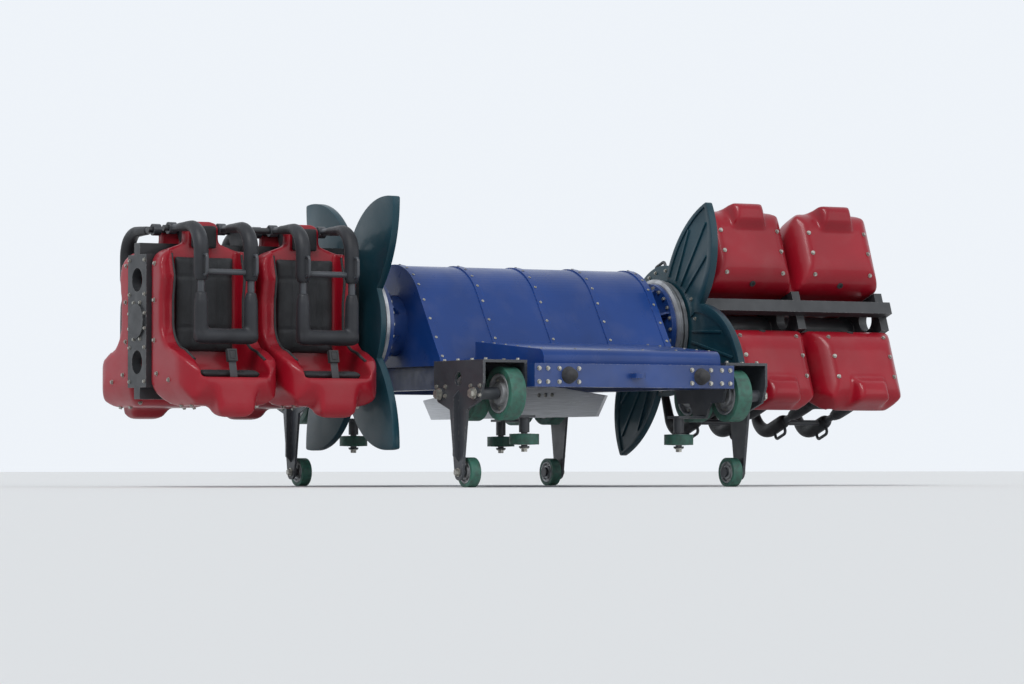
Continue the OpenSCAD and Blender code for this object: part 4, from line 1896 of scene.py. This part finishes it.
@dataclass
class Restraints:
    """Over-shoulder restraint: steel tube, moulded collar pads, grips and lap pad."""

    finishes: Finishes
    tube_r: float = 0.022
    cross_r: float = 0.018
    cross_drop: float = 0.42
    boss_r: float = 0.036
    boss_t: float = 0.050
    grip_r: float = 0.010
    grip_drop: float = 0.36
    half_grip: float = 0.060
    grip_stand: float = 0.082
    grip_bend: float = 0.022
    pad_r: float = 0.046
    lap_r: float = 0.050
    leg_r: float = 0.044
    tube_start: float = 0.030
    collar_start: float = 0.105
    collar_share: float = 0.50
    leg_share: float = 0.60
    voxel: float = 0.010
    passes: int = 4

    @property
    def reach(self) -> float:
        """How far in front of the seat's back the arms hang."""
        return CAR.hinge_x + CAR.arm_reach

    def path(self, start: float, drop: float, side: int, steps: int = 8) -> list[Vector]:
        """Follows one arm from over the shoulder down the chest.

        Args:
            start: Distance in front of the hinge where the path begins.
            drop: How far below the hinge it ends.
            side: Sign of Y.
            steps: Points round the bend.

        Returns:
            The points, in the seat's place.
        """
        y, z0 = side * CAR.arm_y, CAR.hinge_z
        cx, cz = self.reach - CAR.bend_r, z0 - CAR.bend_r
        points = [Vector((CAR.hinge_x + start, y, z0))]
        for index in range(steps + 1):
            angle = math.pi / 2 * (1 - index / steps)
            points.append(Vector((cx + CAR.bend_r * math.cos(angle), y, cz + CAR.bend_r * math.sin(angle))))
        count = max(2, int(drop / 0.06))
        for index in range(1, count + 1):
            points.append(Vector((cx + CAR.bend_r, y, cz + (z0 - drop - cz) * index / count)))
        return points

    def boss(self, side: int) -> Workpiece:
        """Models one hinge boss.

        Args:
            side: Sign of Y.

        Returns:
            The boss, in the seat's place.
        """
        at = (CAR.hinge_x, side * CAR.arm_y, CAR.hinge_z)
        piece = Workpiece.cylinder(self.boss_r, self.boss_t, at, "Y", 32)
        for sign in (-1, 1):
            piece.carve(facing((0, sign, 0)), [(0.006, 0.0), (0.003, -0.003)])
        return piece.round_edges(0.002)

    def steel(self) -> Workpiece:
        """Models the hinge bosses, the bent tubes down to the lap bar, and the grab handles.

        Returns:
            The pattern, in the seat's place.
        """
        parts = []
        for side in (-1, 1):
            parts.append(self.boss(side))
            parts.append(Workpiece.tube(self.path(self.tube_start, CAR.lap_drop, side), self.tube_r))
            parts.append(Workpiece.tube(self.handle(side), self.grip_r))
        z = CAR.hinge_z - self.cross_drop * CAR.lap_drop
        parts.append(Workpiece.tube([(self.reach, side * CAR.arm_y, z) for side in (-1, 1)], self.cross_r))
        return parts[0].join(parts[1:]).smooth()

    def handle(self, side: int) -> list[Vector]:
        """Follows the grab handle in front of one collar pad.

        Args:
            side: Sign of Y.

        Returns:
            The points, in the seat's place.
        """
        y, z = side * CAR.arm_y, CAR.hinge_z - self.grip_drop * CAR.lap_drop
        bend_x, bend_z = self.reach + self.grip_stand - self.grip_bend, self.half_grip - self.grip_bend
        points = [Vector((self.reach + self.grip_r, y, z + self.half_grip))]
        for sign, first in ((1, 90), (-1, 0)):
            for index in range(6):
                angle = math.radians(first - 90 * index / 5)
                points.append(Vector((bend_x + self.grip_bend * math.cos(angle), y,
                                      z + sign * bend_z + self.grip_bend * math.sin(angle))))
        return points + [Vector((self.reach + self.grip_r, y, z - self.half_grip))]

    def collar(self) -> Workpiece:
        """Models both collar pads, thickest over the shoulders.

        Returns:
            The pattern, in the seat's place.
        """
        parts = []
        for side in (-1, 1):
            points = self.path(self.collar_start, self.collar_share * CAR.lap_drop, side, 10)
            count = len(points)
            shares = [min(1.0, (index + 0.6) / (count * 0.62)) for index in range(count)]
            swell = [min(1.0, 0.62 + 0.42 * math.sin(0.5 * math.pi * share)) for share in shares]
            swell[0], swell[-1] = 0.6, 0.78
            parts.append(Workpiece.tube(points, self.pad_r, 16, swell))
        return parts[0].join(parts[1:]).mould(self.voxel, self.passes)

    def lap(self) -> Workpiece:
        """Models the pad along the lap bar, with bulged ends, and the sleeves down to it.

        Returns:
            The pattern, in the seat's place.
        """
        low, high = CAR.hinge_z - CAR.lap_drop, CAR.hinge_z - self.leg_share * CAR.lap_drop
        bar = [(self.reach, CAR.arm_y * share, low) for share in (-1.22, -1.0, -0.5, 0.0, 0.5, 1.0, 1.22)]
        piece = Workpiece.tube(bar, self.lap_r, 16, (0.72, 0.95, 0.98, 0.92, 0.98, 0.95, 0.72))
        legs = []
        for side in (-1, 1):
            y = side * CAR.arm_y
            leg = [(self.reach, y, high + (low - high) * step) for step in (0.0, 0.2, 0.6, 1.0)]
            legs.append(Workpiece.tube(leg, self.leg_r, 16, (0.7, 0.95, 1.0, 1.0)))
        return piece.join(legs).mould(self.voxel, self.passes)

    def build(self) -> None:
        """Models one restraint and copies it to the seats."""
        for name, pattern, material in (("tube", self.steel(), self.finishes.dark_steel),
                                        ("collar", self.collar(), self.finishes.harness_foam),
                                        ("lap_pad", self.lap(), self.finishes.harness_foam)):
            bodies = [(f"restraint_{seat.name}", seat.matrix) for seat in SEATS]
            pieces = pattern.spread(material, "harness",
                                    [Spot(f"{body}_{name}", body, place, body) for body, place in bodies])


@dataclass
class SolidFinishes:
    """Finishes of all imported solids, by how their names start."""

    finishes: Finishes

    def build(self) -> None:
        """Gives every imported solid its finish."""
        f = self.finishes
        groups = ((f.blue_steel, ("axle_housing", "side_beam", "end_beam", "cross_members", "pedestals")),
                  (f.blue, ("centre_cowl", "front_cowl", "rear_cowl")),
                  (f.ring, ("slew_rings", "hub_flange")), (f.teal, ("fin_shield",)),
                  (f.frame_steel, ("unit_frame",)), (f.red, ("seat_shell",)), (f.foam, ("seat_pads",)),
                  (f.harness_foam, ("restraint",)), (f.tread, ("wheel",)), (f.rubber, ("buffers",)),
                  (f.plate, ("brake_fin",)))
        for name, obj in frame["nodes"].items():
            material = next((finish for finish, starts in groups if name.startswith(starts)), f.dark_steel)
            obj.data.materials.clear()
            obj.data.materials.append(material)
            log.info("%s: %s", name, material.name)


@dataclass
class Studio:
    """Pale floor, soft lamps and the camera, as far round the car as the photograph's."""

    azimuth: float = 60.0
    distance: float = 27.0
    eye: float = 0.12
    margin: float = 1.06
    half_sensor: float = 18.0
    floor_size: float = 160.0
    floor_colour: Colour = (0.80, 0.80, 0.79)
    light_colour: Colour = (0.80, 0.85, 0.92)
    light_strength: float = 0.60
    seen_colour: Colour = (0.86, 0.90, 0.95)
    seen_strength: float = 1.0

    def floor(self) -> None:
        """Lays a wide pale floor under the car."""
        deselect()
        bpy.ops.mesh.primitive_plane_add(size=self.floor_size)
        obj = bpy.context.object
        obj.name = "floor"
        g = Graph("pale floor")
        g.set(Base_Color=(*self.floor_colour, 1.0), Roughness=0.85, Specular_IOR_Level=0.1)
        obj.data.materials.append(g.material)
        obj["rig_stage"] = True

    def world(self) -> None:
        """Lights the scene evenly and shows a pale background."""
        world = bpy.data.worlds.new("studio")
        bpy.context.scene.world = world
        world.use_nodes = True
        nodes, links = world.node_tree.nodes, world.node_tree.links
        light, seen = nodes["Background"], nodes.new("ShaderNodeBackground")
        for node, colour, strength in ((light, self.light_colour, self.light_strength),
                                       (seen, self.seen_colour, self.seen_strength)):
            node.inputs["Color"].default_value = (*colour, 1.0)
            node.inputs["Strength"].default_value = strength
        path = nodes.new("ShaderNodeLightPath")
        mix = nodes.new("ShaderNodeMixShader")
        shown = path.outputs["Is Camera Ray"]
        for ray in ("Is Glossy Ray", "Is Transmission Ray"):
            either = nodes.new("ShaderNodeMath")
            either.operation = "MAXIMUM"
            links.new(shown, either.inputs[0])
            links.new(path.outputs[ray], either.inputs[1])
            shown = either.outputs["Value"]
        links.new(shown, mix.inputs["Fac"])
        links.new(light.outputs["Background"], mix.inputs[1])
        links.new(seen.outputs["Background"], mix.inputs[2])
        links.new(mix.outputs["Shader"], nodes["World Output"].inputs["Surface"])

    def sky(self, name: str, direction: Point, spread: float, strength: float) -> None:
        """Adds a wide, distant lamp that lights floor and car evenly.

        Args:
            name: The lamp's name.
            direction: Where the light comes from.
            spread: Its angular size in degrees.
            strength: Its strength.
        """
        deselect()
        bpy.ops.object.light_add(type="SUN")
        obj = bpy.context.object
        obj.name = name
        obj.data.angle = math.radians(spread)
        obj.data.energy = strength
        obj.rotation_mode = "QUATERNION"
        obj.rotation_quaternion = Vector(direction).to_track_quat("Z", "Y")

    def camera(self) -> None:
        """Sets a long lens at floor level, which holds the whole width of the car."""
        deselect()
        angle = math.radians(self.azimuth)
        low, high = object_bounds()
        centre = (low + high) / 2
        at = Vector((math.sin(angle) * self.distance, -math.cos(angle) * self.distance, self.eye))
        bpy.ops.object.camera_add(location=at)
        camera = bpy.context.object
        camera.rotation_mode = "QUATERNION"
        camera.rotation_quaternion = (centre - at).to_track_quat("-Z", "Y")
        reach = 0.5 * ((high.x - low.x) * abs(math.cos(angle)) + (high.y - low.y) * abs(math.sin(angle)))
        camera.data.lens = self.half_sensor * self.distance / (reach * self.margin)
        camera.data.clip_end = 400.0
        bpy.context.scene.camera = camera

    def build(self) -> None:
        """Sets the stage."""
        self.floor()
        self.world()
        self.sky("key", (0.55, -0.60, 0.85), 25.0, 1.6)
        self.sky("fill", (0.80, 0.45, 0.30), 50.0, 0.5)
        self.camera()
        bpy.context.scene.view_settings.view_transform = "Standard"


def main() -> None:
    """Builds the sub-assemblies in order."""
    logging.basicConfig(level=logging.INFO, format="%(name)s: %(message)s")
    finishes = Finishes()
    fasteners = Fasteners()
    Studio().build()
    SolidFinishes(finishes).build()
    Wheels(finishes, fasteners).build()
    BogieTrim(finishes, fasteners).build()
    CowlTrim(finishes, fasteners).build()
    BeamTrim(finishes, fasteners).build()
    RoundedPlates(finishes).build()
    UnitTrim(finishes, fasteners).build()
    Shells(finishes, fasteners).build()
    Cushions(finishes).build()
    SeatTrim(finishes).build()
    Restraints(finishes).build()
    deselect()
    log.info("built the car")


if __name__ == "__main__":
    main()
